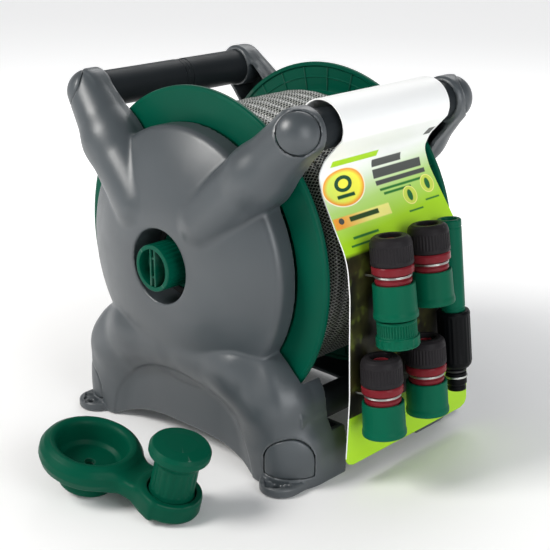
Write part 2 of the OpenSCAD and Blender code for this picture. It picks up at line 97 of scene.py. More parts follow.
# ---------- node networks
class Nodes:
    """Short names for the nodes that feed a material or the world."""

    def __init__(self, tree):
        self.tree = tree

    def node(self, kind, **inputs):
        made = self.tree.nodes.new(kind)
        for socket, value in inputs.items():
            self.feed(made.inputs[socket.replace("_", " ")], value)
        return made

    def feed(self, socket, value):
        if isinstance(value, bpy.types.NodeSocket):
            self.tree.links.new(value, socket)
        else:
            socket.default_value = value

    def place(self, output):
        return self.node("ShaderNodeTexCoord").outputs[output]

    def separate(self, vector):
        return self.node("ShaderNodeSeparateXYZ", Vector=vector).outputs

    def maths(self, operation, *values):
        made = self.tree.nodes.new("ShaderNodeMath")
        made.operation = operation
        for socket, value in zip(made.inputs, values):
            self.feed(socket, value)
        return made.outputs[0]

    def mix(self, factor, first, second):
        made = self.tree.nodes.new("ShaderNodeMix")
        made.data_type = "RGBA"
        for socket, value in (("Factor", factor), ("A", first), ("B", second)):
            self.feed(made.inputs[socket], value)
        return made.outputs["Result"]

    def spread(self, value, low, high, to_low, to_high):
        """The value, moved from the range low to high into the range to_low to to_high, and held there."""
        made = self.node("ShaderNodeMapRange", Value=value, From_Min=low, From_Max=high, To_Min=to_low,
                         To_Max=to_high)
        return made.outputs[0]

    def noise(self, scale, detail=2.0):
        made = self.node("ShaderNodeTexNoise", Scale=scale, Detail=detail, Vector=self.place("Object"))
        return made.outputs["Fac"]

    def bump(self, height, distance):
        return self.node("ShaderNodeBump", Strength=1.0, Distance=distance, Height=height)


class Shader(Nodes):
    """A Principled material; keywords set its sockets, with _ for a space."""

    def __init__(self, name, **sockets):
        self.material = bpy.data.materials.new(name)
        self.material.use_nodes = True
        super().__init__(self.material.node_tree)
        self.surface = self.tree.nodes["Principled BSDF"]
        for socket, value in sockets.items():
            self.surface.inputs[socket.replace("_", " ")].default_value = value

    def link(self, socket, value):
        self.feed(self.surface.inputs[socket], value)

    def print_place(self, layer, long, wide):
        """The two coordinates of a UV layer, scaled."""
        made = self.node("ShaderNodeUVMap")
        made.uv_map = layer
        parts = self.separate(made.outputs["UV"])
        return self.maths("MULTIPLY", parts["X"], long), self.maths("MULTIPLY", parts["Y"], wide)

    def dressed(self, tone, patches, rough, relief, under=None):
        """The material, with its colour, patches of roughness within a range, and its relief."""
        self.link("Base Color", tone)
        self.link("Roughness", self.spread(self.noise(*patches), 0.3, 0.7, *rough))
        if under is not None:
            self.feed(relief.inputs["Normal"], under.outputs["Normal"])
        self.link("Normal", relief.outputs["Normal"])
        return self.material


# ---------- camera, light and floor
EYE = (0.69605, -0.72398, 0.47501)
LOOK_AT = (0.01241, -0.00342, 0.12841)
FOCAL_LENGTH, SENSOR_WIDTH = 80.04, 36
FLOOR_HALF = 6.0
FLOOR_DROP = 0.0004


def put(name, data, spot, aim):
    """Link a camera or a lamp at a spot, looking towards its aim."""
    made = bpy.data.objects.new(name, data)
    made.location = spot
    made.rotation_euler = (Vector(aim) - Vector(spot)).to_track_quat("-Z", "Y").to_euler()
    bpy.context.scene.collection.objects.link(made)
    return made


def set_the_stage():
    """Camera, a world that is bright near the horizon, three soft lights and a pale floor."""
    scene = bpy.context.scene
    camera = bpy.data.cameras.new("camera")
    camera.lens = FOCAL_LENGTH
    camera.sensor_width = SENSOR_WIDTH
    scene.camera = put("camera", camera, EYE, LOOK_AT)

    # Bright round the horizon, so that the floor's far edge doesn't show, and dim overhead.
    world = bpy.data.worlds.new("studio")
    world.use_nodes = True
    background = world.node_tree.nodes["Background"]
    background.inputs["Color"].default_value = (0.97, 0.98, 1.0, 1)
    sky = Nodes(world.node_tree)
    rise = sky.separate(sky.place("Generated"))["Z"]
    sky.feed(background.inputs["Strength"], sky.spread(rise, 0.16, 0.30, 0.88, 0.24))
    scene.world = world
    scene.view_settings.view_transform = "Standard"

    lamps = (("key_light", (-0.55, -1.25, 1.35), (0, 0, 0.12), (0.7, 0.7), 25, (1.0, 0.98, 0.95)),
             ("front_light", (1.5, -0.35, 0.7), (0.05, 0, 0.13), (0.8, 1.0), 10, (0.96, 0.98, 1.0)),
             ("back_light", (-0.6, 1.1, 1.3), (0, 0, 0.2), (1.2, 0.6), 8, (1, 1, 1)))
    for name, spot, aim, size, power, tint in lamps:
        light = bpy.data.lights.new(name, "AREA")
        light.shape = "RECTANGLE"
        light.size, light.size_y = size
        light.energy = power
        light.color = tint
        put(name, light, spot, aim)

    # The floor glows faintly, and more with distance, so that it fades to white behind the object.
    cover = Shader("pale_floor", Base_Color=(0.93, 0.93, 0.93, 1), Emission_Color=(1, 1, 1, 1),
                   Roughness=0.75)
    distance = cover.node("ShaderNodeVectorMath", Vector=cover.place("Object"))
    distance.operation = "LENGTH"
    cover.link("Emission Strength", cover.spread(distance.outputs["Value"], 0.2, 0.75, 0.02, 0.55))
    floor = bpy.data.meshes.new("floor")
    square = [(FLOOR_HALF * a, FLOOR_HALF * b, 0) for a, b in ((-1, -1), (1, -1), (1, 1), (-1, 1))]
    floor.from_pydata(square, [], [(0, 1, 2, 3)])
    floor.materials.append(cover.material)
    plane = bpy.data.objects.new("floor", floor)
    plane.location.z = -FLOOR_DROP
    scene.collection.objects.link(plane)


set_the_stage()


# ---------- materials
def colour(code):
    """Linear colour of a web colour code."""
    parts = [int(code[i:i + 2], 16) / 255 for i in (1, 3, 5)]
    return tuple(((p + 0.055) / 1.055) ** 2.4 if p > 0.04045 else p / 12.92 for p in parts) + (1,)


def lighter(rgba, share):
    return tuple(c + (1 - c) * share for c in rgba[:3]) + (1,)


def darker(rgba, share):
    """Towards black by a share; a negative share makes it stronger and keeps its hue."""
    return tuple(c * (1 - share) for c in rgba[:3]) + (1,)


def moulded(name, code, rough, wear, gloss=0.08):
    """Injection-moulded plastic: spark-eroded grain, faint flow marks, and paler rubbed edges."""
    base = colour(code)
    look = Shader(name, IOR=1.5, Specular_IOR_Level=gloss)
    flow = look.spread(look.noise(9, 3), 0.35, 0.65, 0, 1)
    tone = look.mix(flow, darker(base, 0.07), darker(base, -0.10))
    edge = look.spread(look.node("ShaderNodeNewGeometry").outputs["Pointiness"], 0.52, 0.60, 0, 1)
    rubbed = look.maths("MULTIPLY", edge, look.spread(look.noise(120, 4), 0.35, 0.7, 0, 1))
    tone = look.mix(look.maths("MULTIPLY", rubbed, wear * 5), tone, lighter(base, wear))
    grain = look.bump(look.noise(2600, 2), 0.00004)
    ripple = look.bump(look.noise(26, 1), 0.0002)
    return look.dressed(tone, (38, 4), (rough - 0.05, rough + 0.06), grain, ripple)


def turned_steel(name, code, rough):
    """Drawn or turned steel, with fine scratches and a few dull patches."""
    base = colour(code)
    look = Shader(name, Metallic=1.0)
    tone = look.mix(look.noise(60, 3), darker(base, 0.12), base)
    return look.dressed(tone, (90, 4), (rough, rough + 0.16), look.bump(look.noise(1800, 3), 0.00002))


def rubber():
    base = colour("#17181a")
    look = Shader("seal_rubber")
    tone = look.mix(look.noise(40, 3), base, lighter(base, 0.03))
    return look.dressed(tone, (200, 3), (0.55, 0.75), look.bump(look.noise(900, 2), 0.00005))


def clear_red():
    """Tinted plastic with a wet gloss."""
    base = colour("#740014")
    look = Shader("clear_red", IOR=1.45, Specular_IOR_Level=0.12)
    tone = look.mix(look.noise(70, 3), darker(base, 0.25), lighter(base, 0.03))
    return look.dressed(tone, (60, 3), (0.16, 0.26), look.bump(look.noise(500, 2), 0.00003))


THREADS = 10
THREAD_LEAD = 29.0
THREAD_HALF_WIDTH = 0.14


def braided_hose():
    """Clear PVC over a black core, with a braid of light threads wound both ways."""
    look = Shader("braided_hose", IOR=1.5, Specular_IOR_Level=0.4, Coat_Weight=0.35, Coat_Roughness=0.1)
    along, around = look.print_place("braid", THREADS, THREADS)

    def threads(sense):
        phase = look.maths("FRACT", look.maths("ADD", around, look.maths("MULTIPLY", along, sense)))
        off_middle = look.maths("ABSOLUTE", look.maths("SUBTRACT", phase, 0.5))
        return look.spread(off_middle, THREAD_HALF_WIDTH, THREAD_HALF_WIDTH * 0.45, 0, 1)

    first, second = threads(1), threads(-1)
    thread = look.mix(look.noise(3200, 2), colour("#a3a8a4"), colour("#dfe2db"))
    tone = look.mix(look.maths("MAXIMUM", first, second), colour("#0c0d0e"), thread)
    relief = look.bump(look.maths("ADD", first, second), 0.00018)
    return look.dressed(tone, (60, 3), (0.28, 0.42), relief)


PRINT_LENGTH, PRINT_WIDTH = 400.0, 170.0


def printed_card():
    """Satin printed card: white flap, lime front, dark picture, a round badge and plain bars.

    The print is laid out in millimetres, along the card from its back edge and across from its left one.
    """
    look = Shader("printed_card", IOR=1.47, Specular_IOR_Level=0.3)
    along, across = look.print_place("print", PRINT_LENGTH, PRINT_WIDTH)

    def bar(middle, half, soft):
        masks = []
        for value, centre, reach in zip((along, across), middle, half):
            off = look.maths("ABSOLUTE", look.maths("SUBTRACT", value, centre))
            masks.append(look.spread(off, reach - soft, reach + soft, 1, 0))
        return look.maths("MULTIPLY", *masks)

    def oval(middle, half, soft):
        squares = []
        for value, centre, reach in zip((along, across), middle, half):
            off = look.maths("DIVIDE", look.maths("SUBTRACT", value, centre), reach)
            squares.append(look.maths("MULTIPLY", off, off))
        return look.spread(look.maths("ADD", *squares), 1 - soft, 1 + soft, 1, 0)

    lime, white, green, dark = (colour(code) for code in ("#acdd24", "#f6f7f6", "#2c7a34", "#4c4f4c"))
    yellow, orange, ink = (colour(code) for code in ("#fbf24a", "#f6a23a", "#0c4a2e"))
    diagonal = look.maths("ADD", along, look.maths("MULTIPLY", across, 0.10))
    pale = look.mix(look.spread(diagonal, 128, 158, 0, 1), white, colour("#bfdc9a"))
    tone = look.mix(look.spread(diagonal, 140, 182, 0, 1), pale, lime)
    blur = look.spread(look.noise(34, 3), 0.4, 0.62, 0, 1)
    picture = look.mix(blur, colour("#14120e"), colour("#3a3a1c"))
    petals = look.spread(look.noise(70, 2), 0.56, 0.66, 0, 1)
    picture = look.mix(look.maths("MULTIPLY", petals, 0.55), picture, colour("#5d6a2a"))
    below_top, above_foot = look.spread(along, 189, 192, 0, 1), look.spread(along, 320.2, 320.8, 1, 0)
    tone = look.mix(look.maths("MULTIPLY", below_top, above_foot), tone, picture)
    glow = look.spread(across, 8, 42, 0, 1)
    marks = [(bar, middle, half, 0.35, paint) for middle, half, paint in (
        ((127.5, 78), (3.4, 18), dark), ((136.6, 90), (3.6, 30), dark), ((144.2, 92), (1.9, 31), dark),
        ((150.0, 93), (1.0, 30), green), ((153.6, 83), (1.0, 17), green),
        ((118.0, 37), (2.9, 27), lime), ((106.5, 121), (4.4, 4.2), dark), ((109.0, 131), (0.8, 3.5), green),
        ((173.0, 96), (0.7, 9), green), ((168.0, 120), (0.7, 9), green), ((179.0, 30), (1.0, 15), green),
        ((184.6, 26), (0.8, 16), green))]
    marks += [
        (oval, (139.5, 24.5), (15.6, 24.6), 0.03, colour("#fdf7dc")),
        (oval, (139.5, 24.5), (14.8, 23.4), 0.03, orange),
        (oval, (139.5, 24.5), (12.6, 20.6), 0.2, look.mix(glow, colour("#d9ea62"), yellow)),
        (oval, (137.0, 24.5), (6.4, 10.0), 0.03, ink),
        (oval, (137.0, 24.5), (3.6, 5.8), 0.03, yellow),
        (bar, (146.6, 24.5), (1.4, 10.0), 0.35, ink),
        (bar, (165.5, 34), (4.4, 33), 0.5, look.mix(glow, orange, colour("#f7f08a"))),
        (bar, (164.6, 36), (1.9, 17), 0.35, colour("#2b4a22")),
        (oval, (164.2, 9.5), (2.4, 3.0), 0.03, dark)]
    for middle in ((160.5, 95.0), (155.5, 120.0)):
        marks += [(oval, middle, (7.6, 8.4), 0.03, colour("#f3ef8e")),
                  (oval, middle, (6.8, 7.6), 0.03, colour("#cfe058")),
                  (oval, middle, (4.6, 3.0), 0.2, colour("#1c6a36"))]
    for mask, middle, half, soft, paint in marks:
        tone = look.mix(mask(middle, half, soft), tone, paint)
    tone = look.mix(look.spread(across, 0.05, 0.2, 1, 0), tone, white)
    return look.dressed(tone, (30, 3), (0.34, 0.46), look.bump(look.noise(14, 2), 0.0004))


# One material for each slot of the record
LOOKS = {
    "frame_grey": moulded("frame_grey", "#3e4448", 0.37, wear=0.16, gloss=0.65),
    "handle_dark": moulded("handle_dark", "#25292c", 0.40, wear=0.10),
    "flange_green": moulded("flange_green", "#004c3a", 0.36, wear=0.14),
    "crank_green": moulded("crank_green", "#014936", 0.38, wear=0.14),
    "black_plastic": moulded("black_plastic", "#090b0d", 0.34, wear=0.08),
    "white_acetal": moulded("white_acetal", "#e4e1d6", 0.35, wear=0.02),
    "nut_grey": moulded("nut_grey", "#232123", 0.42, wear=0.12),
    "sleeve_green": moulded("sleeve_green", "#02573f", 0.44, wear=0.14),
    "nozzle_green": moulded("nozzle_green", "#005640", 0.36, wear=0.12),
    "steel": turned_steel("steel", "#b9bcbe", 0.22),
    "tie_wire": turned_steel("tie_wire", "#c6c8c4", 0.3),
    "seal_rubber": rubber(),
    "clear_red": clear_red(),
    "braided_hose": braided_hose(),
    "printed_card": printed_card(),
}
SLOT_OF = {part["node"]: part["material_slot"] for part in frame["record"]["subparts"]}
BODY_OF = {node: body for body, nodes in frame["record"]["behaviour"]["bodies"].items() for node in nodes}


# ---------- building pieces
def add(name, points, faces, stands_for, hides=None, look=None, smooth_below=38):
    """A piece that looks like, moves with and hides the CAD node it stands for.

    Its points are in millimetres. It is smooth-shaded, except at edges sharper than smooth_below degrees.
    """
    slot = look or SLOT_OF[stands_for]
    faces = [tuple(int(i) for i in face) for face in outward(points, faces)]
    mesh = bpy.data.meshes.new(name)
    mesh.from_pydata((np.asarray(points) * MM).tolist(), [], faces)
    mesh.validate()
    mesh.shade_smooth()
    mesh.set_sharp_from_angle(angle=math.radians(smooth_below))
    mesh.materials.append(LOOKS[slot])
    piece = bpy.data.objects.new(name, mesh)
    bpy.context.scene.collection.objects.link(piece)
    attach(piece, BODY_OF[stands_for])
    hidden = [stands_for] if hides is None else list(hides)
    if hidden:
        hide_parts(*hidden)
    return piece


FLAT_HALF_ANGLE = 1.55
CORNER_SHARE = 0.46  # most of a side that one corner's arc may take
SUPPORT = 0.25


def rounded(outline, closed=True, steps=4):
    """The outline through (a, b, radius) corners, each turned into an arc, with support points beside it.

    A corner without a radius stays sharp, and so does one that hardly bends.
    """
    count = len(outline)
    points = [np.array(corner[:2], float) for corner in outline]
    line = []
    for i, corner in enumerate(outline):
        here = points[i]
        if len(corner) < 3 or (not closed and i in (0, count - 1)):
            line.append(here)
            continue
        before = points[i - 1] - here
        after = points[(i + 1) % count] - here
        reach_before, reach_after = np.linalg.norm(before), np.linalg.norm(after)
        before, after = before / reach_before, after / reach_after
        half_angle = math.acos(np.clip(before @ after, -1, 1)) / 2
        if half_angle > FLAT_HALF_ANGLE:
            line.append(here)
            continue
        cut = min(corner[2] / math.tan(half_angle), CORNER_SHARE * reach_before, CORNER_SHARE * reach_after)
        radius = cut * math.tan(half_angle)
        middle = here + unit(before + after) * math.hypot(cut, radius)
        start, stop = here + before * cut - middle, here + after * cut - middle
        if reach_before - cut > 3 * SUPPORT:
            line.append(here + before * (cut + SUPPORT))
        swing = math.pi - 2 * half_angle
        for t in (k / steps for k in range(steps + 1)):
            arm = (math.sin((1 - t) * swing) * start + math.sin(t * swing) * stop) / math.sin(swing)
            line.append(middle + arm)
        if reach_after - cut > 3 * SUPPORT:
            line.append(here + after * (cut + SUPPORT))
    return np.array(line)


def unit(v):
    v = np.asarray(v, float)
    return v / np.linalg.norm(v)


def directions(path):
    """Unit tangent at each point of a path."""
    steps = np.gradient(path, axis=0)
    return steps / np.linalg.norm(steps, axis=1)[:, None]


def distances(path):
    """Distance along a path at each of its points."""
    return np.concatenate([[0], np.cumsum(np.linalg.norm(np.diff(path, axis=0), axis=1))])


def swung(a, b, angle):
    """Coordinates a and b, turned by an angle from a towards b."""
    c, s = math.cos(angle), math.sin(angle)
    return a * c - b * s, a * s + b * c


def turned(outline, segments=96, closed=True, shape=None):
    """Solid of revolution about local Z of an outline of (radius, height) points.

    shape(angle, radius, height) may return a changed radius, for ribs and facets.
    Points on the axis become a single pole.
    """
    outline = np.asarray(outline, float)
    angles = np.arange(segments) * TAU / segments
    points, rings = [], []
    for radius, height in outline:
        if radius < 1e-6:
            rings.append([len(points)] * segments)
            points.append((0, 0, height))
            continue
        radii = np.full(segments, radius) if shape is None else shape(angles, radius, height)
        rings.append(list(range(len(points), len(points) + segments)))
        points.extend(zip(radii * np.cos(angles), radii * np.sin(angles), np.full(segments, height)))
    faces = []
    for low, high in zip(rings, rings[1:] + rings[:1] if closed else rings[1:]):
        for k in range(segments):
            n = (k + 1) % segments
            face = list(dict.fromkeys((low[k], low[n], high[n], high[k])))
            if len(face) > 2:
                faces.append(face)
    points = np.array(points)
    return points, outward(points, faces)


def signed_volume(points, faces):
    """Volume inside the faces, negative if they face inwards."""
    points = np.asarray(points, float)
    total = 0.0
    for size in {len(face) for face in faces}:
        fan = points[np.array([face for face in faces if len(face) == size])]
        for i in range(1, size - 1):
            total += (fan[:, 0] * np.cross(fan[:, i], fan[:, i + 1])).sum()
    return total / 6


def outward(points, faces):
    """The faces, all turned round if they face inwards."""
    return [face[::-1] for face in faces] if signed_volume(points, faces) < 0 else faces


def joined(*parts):
    """Several (points, faces) meshes as one."""
    points, faces, offset = [], [], 0
    for part_points, part_faces in parts:
        points.append(part_points)
        faces.extend([[i + offset for i in face] for face in part_faces])
        offset += len(part_points)
    return np.concatenate(points), faces


def ring_faces(rings, sides, closed=False):
    """Quads between each ring of points and the next."""
    faces = []
    for i in range(rings if closed else rings - 1):
        j = (i + 1) % rings
        for k in range(sides):
            n = (k + 1) % sides
            faces.append((i * sides + k, i * sides + n, j * sides + n, j * sides + k))
    return faces


def on_axle(points, side):
    """Local Z to the axle direction, outwards on the given side (+1 right, -1 left)."""
    x, y, z = points.T
    return np.stack([x, side * z, AXLE_Z - side * y], 1)


def along_y(points, x, z):
    """Local Z to +Y, at the given x and z."""
    return np.stack([points[:, 1] + x, points[:, 2], points[:, 0] + z], 1)


def ribbed(count, depth, low, high, sharp=0.5, fade=0.8):
    """Radius function of count round ribs between two heights; negative depth cuts grooves."""
    def shape(angles, radius, height):
        strength = np.clip(min(height - low, high - height) / fade, 0, 1)
        wave = np.clip(0.5 + np.cos(angles * count) / (2 * sharp), 0, 1)
        return radius + depth * strength * wave
    return shape


def only_outside(shape, above):
    """The same radius function, left alone below a radius."""
    return lambda angles, radius, height: (
        shape(angles, radius, height) if radius > above else np.full(len(angles), radius))


def block(half, bevel, centre, spin=0.0):
    """Box of half sizes with rounded edges and corners, turned about local Z and moved to its centre."""
    half = np.array(half, float)
    arc = bevel * np.sin(np.linspace(0, math.pi / 2, 4))
    lines = [np.concatenate([-(reach - bevel + arc)[::-1], reach - bevel + arc]) for reach in half]
    count = len(lines[0])
    grid = np.arange(count * count).reshape(count, count)
    quads = np.stack([grid[:-1, :-1], grid[1:, :-1], grid[1:, 1:], grid[:-1, 1:]], -1).reshape(-1, 4)
    points, faces = [], []
    for axis in range(3):
        a, b = (axis + 1) % 3, (axis + 2) % 3
        for sign in (-1, 1):
            side = np.full((count, count, 3), sign * half[axis])
            side[..., a], side[..., b] = np.meshgrid(lines[a], lines[b], indexing="ij")
            core = np.clip(side, bevel - half, half - bevel)
            off = side - core
            side = core + off / np.linalg.norm(off, axis=-1, keepdims=True) * bevel
            faces.append((quads if sign > 0 else quads[:, ::-1]) + len(points) * count * count)
            points.append(side.reshape(-1, 3))
    points, faces = np.concatenate(points), np.concatenate(faces)
    _, kept, same = np.unique(points.round(5), axis=0, return_index=True, return_inverse=True)
    x, y, z = points[kept].T
    return np.stack([*swung(x, y, spin), z], 1) + np.array(centre, float), same.ravel()[faces].tolist()


# ---------- hose
HOSE_R = 7.25
LAYER_RISE = 12.7
LAYERS = 5
HOSE_PITCH = 14.55
STRAP_ANGLE = math.radians(125)
LAST_TURN_AT = -40.0
PAST_STRAP = math.radians(16)
CLIMB = 0.3  # share of a turn in which the hose rises to its next layer
RINGS_A_TURN = 48


def hose_route():
    """Centreline of the wound hose: layers to and fro between the flanges, then an end under the strap."""
    reach = DRUM_HALF - HOSE_R - 0.3
    route, angle, height = [], 0.0, reach
    for layer in range(LAYERS):
        radius = CORE_R + HOSE_R + 0.05 + layer * LAYER_RISE
        sense = -1 if layer % 2 == 0 else 1
        last = layer == LAYERS - 1
        target = LAST_TURN_AT if last else sense * reach
        turns = abs(target - height) / HOSE_PITCH
        if last:
            stop = STRAP_ANGLE + PAST_STRAP
            turns += ((stop - angle - turns * TAU) / TAU + 0.5) % 1 - 0.5
        steps = round(turns * RINGS_A_TURN)
        for k in range(steps):
            t = k / steps
            route.append((angle + t * turns * TAU, radius, height + t * (target - height)))
        angle += turns * TAU
        height = target
        if not last:
            count = round(CLIMB * RINGS_A_TURN)
            for k in range(count):
                t = k / count
                rise = LAYER_RISE * t * t * (3 - 2 * t)
                route.append((angle + t * CLIMB * TAU, radius + rise, height))
            angle += CLIMB * TAU
    route.append((angle, radius, height))
    route = np.array(route)
    # The outer layers wander a little, as a hand-wound hose does.
    wander = np.random.default_rng(7).normal(size=(2, len(route)))
    for axis, amount in ((1, 0.10), (2, 0.16)):
        slow = np.convolve(wander[axis - 1], np.hanning(21), "same")
        route[:, axis] += amount * slow / slow.std() * np.clip(route[:, 1] / COIL_R - 0.6, 0, 1) * 2
    angles, radii, heights = route.T
    return np.stack([radii * np.cos(angles), heights, AXLE_Z + radii * np.sin(angles)], 1)


def make_hose():
    """Tube along the route, with a short open bore at each end and the braid's coordinates."""
    path = hose_route()
    length = distances(path)
    tangents = directions(path)
    outward = path - np.array([0, 0, AXLE_Z])
    outward[:, Y] = 0
    outward -= tangents * (outward * tangents).sum(1)[:, None]
    outward /= np.linalg.norm(outward, axis=1)[:, None]
    across = np.cross(tangents, outward)
    sides = 18
    turn = (np.arange(sides) * TAU / sides)[None, :, None]
    rings = path[:, None] + HOSE_R * (np.cos(turn) * outward[:, None] + np.sin(turn) * across[:, None])
    bore = 0.66
    first, last = rings[0], rings[-1]
    inward = 9.0
    into_start, into_end = inward * unit(path[1] - path[0]), inward * unit(path[-2] - path[-1])
    mouth_start, mouth_end = path[0] + bore * (first - path[0]), path[-1] + bore * (last - path[-1])
    stack = [mouth_start + into_start, mouth_start, *rings, mouth_end, mouth_end + into_end]
    points = np.concatenate(stack + [[path[0] + into_start], [path[-1] + into_end]])
    distance = np.concatenate([[length[0]] * 2, length, [length[-1]] * 2])
    faces, braid = ring_faces(len(stack), sides), []
    for start, end in zip(distance, distance[1:]):
        base = math.floor(start / THREAD_LEAD)
        u0, u1 = start / THREAD_LEAD - base, end / THREAD_LEAD - base
        for v0, v1 in ((k / sides, (k + 1) / sides) for k in range(sides)):
            braid += [(u0, v0), (u0, v1), (u1, v1), (u1, v0)]
    top = (len(stack) - 1) * sides
    start_hub, end_hub = len(points) - 2, len(points) - 1
    for k in range(sides):
        n = (k + 1) % sides
        faces += [(start_hub, n, k), (end_hub, top + k, top + n)]
        braid += [(0, 0)] * 6
    hose = add("hose", points, faces, "hose_coil")
    layer = hose.data.uv_layers.new(name="braid")
    layer.data.foreach_set("uv", np.array(braid, np.float32).ravel())
    return hose, path


def make_strap():
    """Band round the last two turns of hose, with a small snap buckle on top."""
    middle, reach = middle_of("hose_tie", Y), half_of("hose_tie", Y)
    top = COIL_R + 1.0
    depth = 2 * HOSE_R + 1.2
    foot = top - depth
    outline = rounded([(reach, foot, 6), (reach, top, 6.5), (-reach, top, 6.5), (-reach, foot, 6)], steps=8)
    sides = np.roll(outline, -1, 0) - np.roll(outline, 1, 0)
    normals = np.stack([sides[:, 1], -sides[:, 0]], 1)
    normals /= np.linalg.norm(normals, axis=1)[:, None]
    if (normals * (outline - outline.mean(0))).sum() < 0:
        normals = -normals
    half, thick = 3.0, 0.7
    section = [(-half, -thick), (half, -thick), (half, -thick * 0.3), (half - 0.4, 0.0), (0.6 - half, 0.0),
               (-half, -thick * 0.3)]
    points = [(a, y + ny * b, r + nr * b) for (y, r), (ny, nr) in zip(outline, normals) for a, b in section]
    faces = ring_faces(len(outline), len(section), closed=True)
    buckle = block((4.4, 5.5, 1.2), 0.6, (0, 4.0, top + 0.4))
    latch = block((3.2, 1.2, 0.5), 0.3, (0, 4.0, top + 1.5))
    points, faces = joined((np.array(points, float), faces), buckle, latch)
    side, y, r = points.T
    x, z = swung(r, -side, STRAP_ANGLE)
    return add("hose_strap", np.stack([x, y + middle, AXLE_Z + z], 1), faces, "hose_tie")


hose, hose_path = make_hose()
strap = make_strap()


# ---------- surfaces from distances
def skin(distance, low, high, voxel):
    """Mesh of the zero surface of a distance function (x, y, z arrays -> array) inside a box."""
    low, high = np.array(low, float), np.array(high, float)
    counts = np.ceil((high - low) / voxel).astype(int) + 1
    axes = [low[i] + voxel * np.arange(counts[i]) for i in range(3)]
    x, y, z = (a.astype(np.float32) for a in np.meshgrid(*axes, indexing="ij"))
    band = 3 * voxel
    field = np.clip(distance(x, y, z).astype(np.float32), -band, band)
    grid = vdb.FloatGrid(float(band))
    grid.copyFromArray(np.ascontiguousarray(field))
    points, quads = grid.convertToQuads(isovalue=0.0)
    points = points * voxel + low
    # Two moves along the slope bring the points from the grid's surface onto the true one.
    step = 0.05
    for _ in range(2):
        px, py, pz = points.T
        here = distance(px, py, pz)
        slope = np.stack([distance(px + step, py, pz), distance(px, py + step, pz),
                          distance(px, py, pz + step)], 1)
        slope = (slope - here[:, None]) / step
        size = np.maximum((slope ** 2).sum(1), 0.2)
        points = points - slope * np.clip(here / size, -voxel / 2, voxel / 2)[:, None]
    return points, quads.tolist()


def blend_min(a, b, k):
    """Union of two distances with a fillet of about k."""
    h = np.clip(0.5 + 0.5 * (b - a) / k, 0, 1)
    return b + (a - b) * h - k * h * (1 - h)


def blend_max(a, b, k):
    """Intersection of two distances with an edge rounded by about k."""
    return -blend_min(-a, -b, k)


def round_cone(x, y, z, a, b, ra, rb):
    """Distance to a ball-ended cone from a (radius ra) to b (radius rb)."""
    a, b = np.array(a, float), np.array(b, float)
    line = b - a
    span = line @ line
    taper = ra - rb
    a2 = span - taper * taper
    px, py, pz = x - a[0], y - a[1], z - a[2]
    along = px * line[0] + py * line[1] + pz * line[2]
    away = along - span
    ex, ey, ez = px * span - line[0] * along, py * span - line[1] * along, pz * span - line[2] * along
    x2 = ex * ex + ey * ey + ez * ez
    y2 = along * along * span
    z2 = away * away * span
    k = np.sign(taper) * taper * taper * x2
    far = np.sqrt(x2 + z2) / span - rb
    near = np.sqrt(x2 + y2) / span - ra
    middle = (np.sqrt(x2 * a2 / span) + along * taper) / span - ra
    result = np.where(np.sign(away) * a2 * z2 > k, far, middle)
    return np.where(np.sign(along) * a2 * y2 < k, near, result)


def soft_size(x, softness):
    """The size of x, without its crease at zero."""
    return np.sqrt(x * x + softness * softness)


# ---------- side frames
DISH_R = 108.8
DISH_EDGE = 99.8
DISH_TOP = 124.0
WALL = 3.0
COLLAR_END, COLLAR_FAR, COLLAR_R = 80.0, 96.0, 17.3
DRUM_FACE = 82.5
LEG_INNER = 62.0
SOCKET_WALL, SOCKET_MIDDLE, SOCKET_HALF = 2.5, 78, 14
HUB_INNER, HUB_HALF_WALL = 88, 1.6
HORN_CAP_R, HORN_CAP_DEPTH = 15.6, 9.0
FOOT_CAP_X, FOOT_CAP_OUT, FOOT_CAP_R = 98, 74, 19.5
DIAGONAL = 0.7071
WEB_FACE, WEB_TOP = 102.5, 104
ARCH_HALF, ARCH_RISE, APRON_RISE = 86, 16, 69
ELBOW = np.array([HANDLE_X, 91.5, HANDLE_Z])
# Balls (middle, radius) that the round cones of a horn and of a leg join, on the +X side
HORN = (((39, 99.5, 203.0), 27.5), ((84, 97.0, 247.0), 23.5), (ELBOW, 19.0))
LEG = (((18, 86, 90.0), 32.0), ((60, 85, 84.0), 32.0), ((91, 82, 62.0), 31.0), ((100, 75, 22.0), 29.5),
       ((100, 74, -20.0), 29.5))
FOOT_X = 129.5
FOOT_OUT = 103.0
FOOT_INNER = 47.0
CAP_FACE = unit((0.68, 0.68, 0.27))
HOLE = np.array([115.0, 110.0])


def dish_height(r):
    return DISH_TOP - (DISH_TOP - DISH_EDGE) * ((r - HUB_HOLE_R) / (DISH_R - HUB_HOLE_R)) ** 2


def dish_distance(x, out, z):
    """Bulging disc round the axle, without its hole."""
    r = np.sqrt(x * x + (z - AXLE_Z) ** 2)
    slope = 2 * (DISH_TOP - DISH_EDGE) * (r - HUB_HOLE_R) / (DISH_R - HUB_HOLE_R) ** 2
    over = (out - dish_height(r)) / np.sqrt(1 + slope * slope)
    return blend_max(over, r - DISH_R, 4.0)


def chain_distance(x, out, z, chain, fillet):
    """Round cones from ball to ball of a chain, blended where they meet."""
    result = None
    for (a, ra), (b, rb) in zip(chain, chain[1:]):
        part = round_cone(x, out, z, a, b, ra, rb)
        result = part if result is None else blend_min(result, part, fillet)
    return result


def leg_distance(x, out, z):
    """Leg on the +X side: a bulging column with a flat-sided foot."""
    column = chain_distance(x, np.maximum(out, 76), z, LEG, 8.0)
    corner = 22.0
    dx = x - (FOOT_X - corner)
    dy = out - (FOOT_OUT - corner)
    plan = np.sqrt(np.maximum(dx, 0) ** 2 + np.maximum(dy, 0) ** 2)
    plan = plan + np.minimum(np.maximum(dx, dy), 0) - corner
    inner = (88 - 0.25 * z) - x
    foot = blend_max(blend_max(plan, inner, 12), z - 44, 16)
    return blend_min(column, foot, 12)


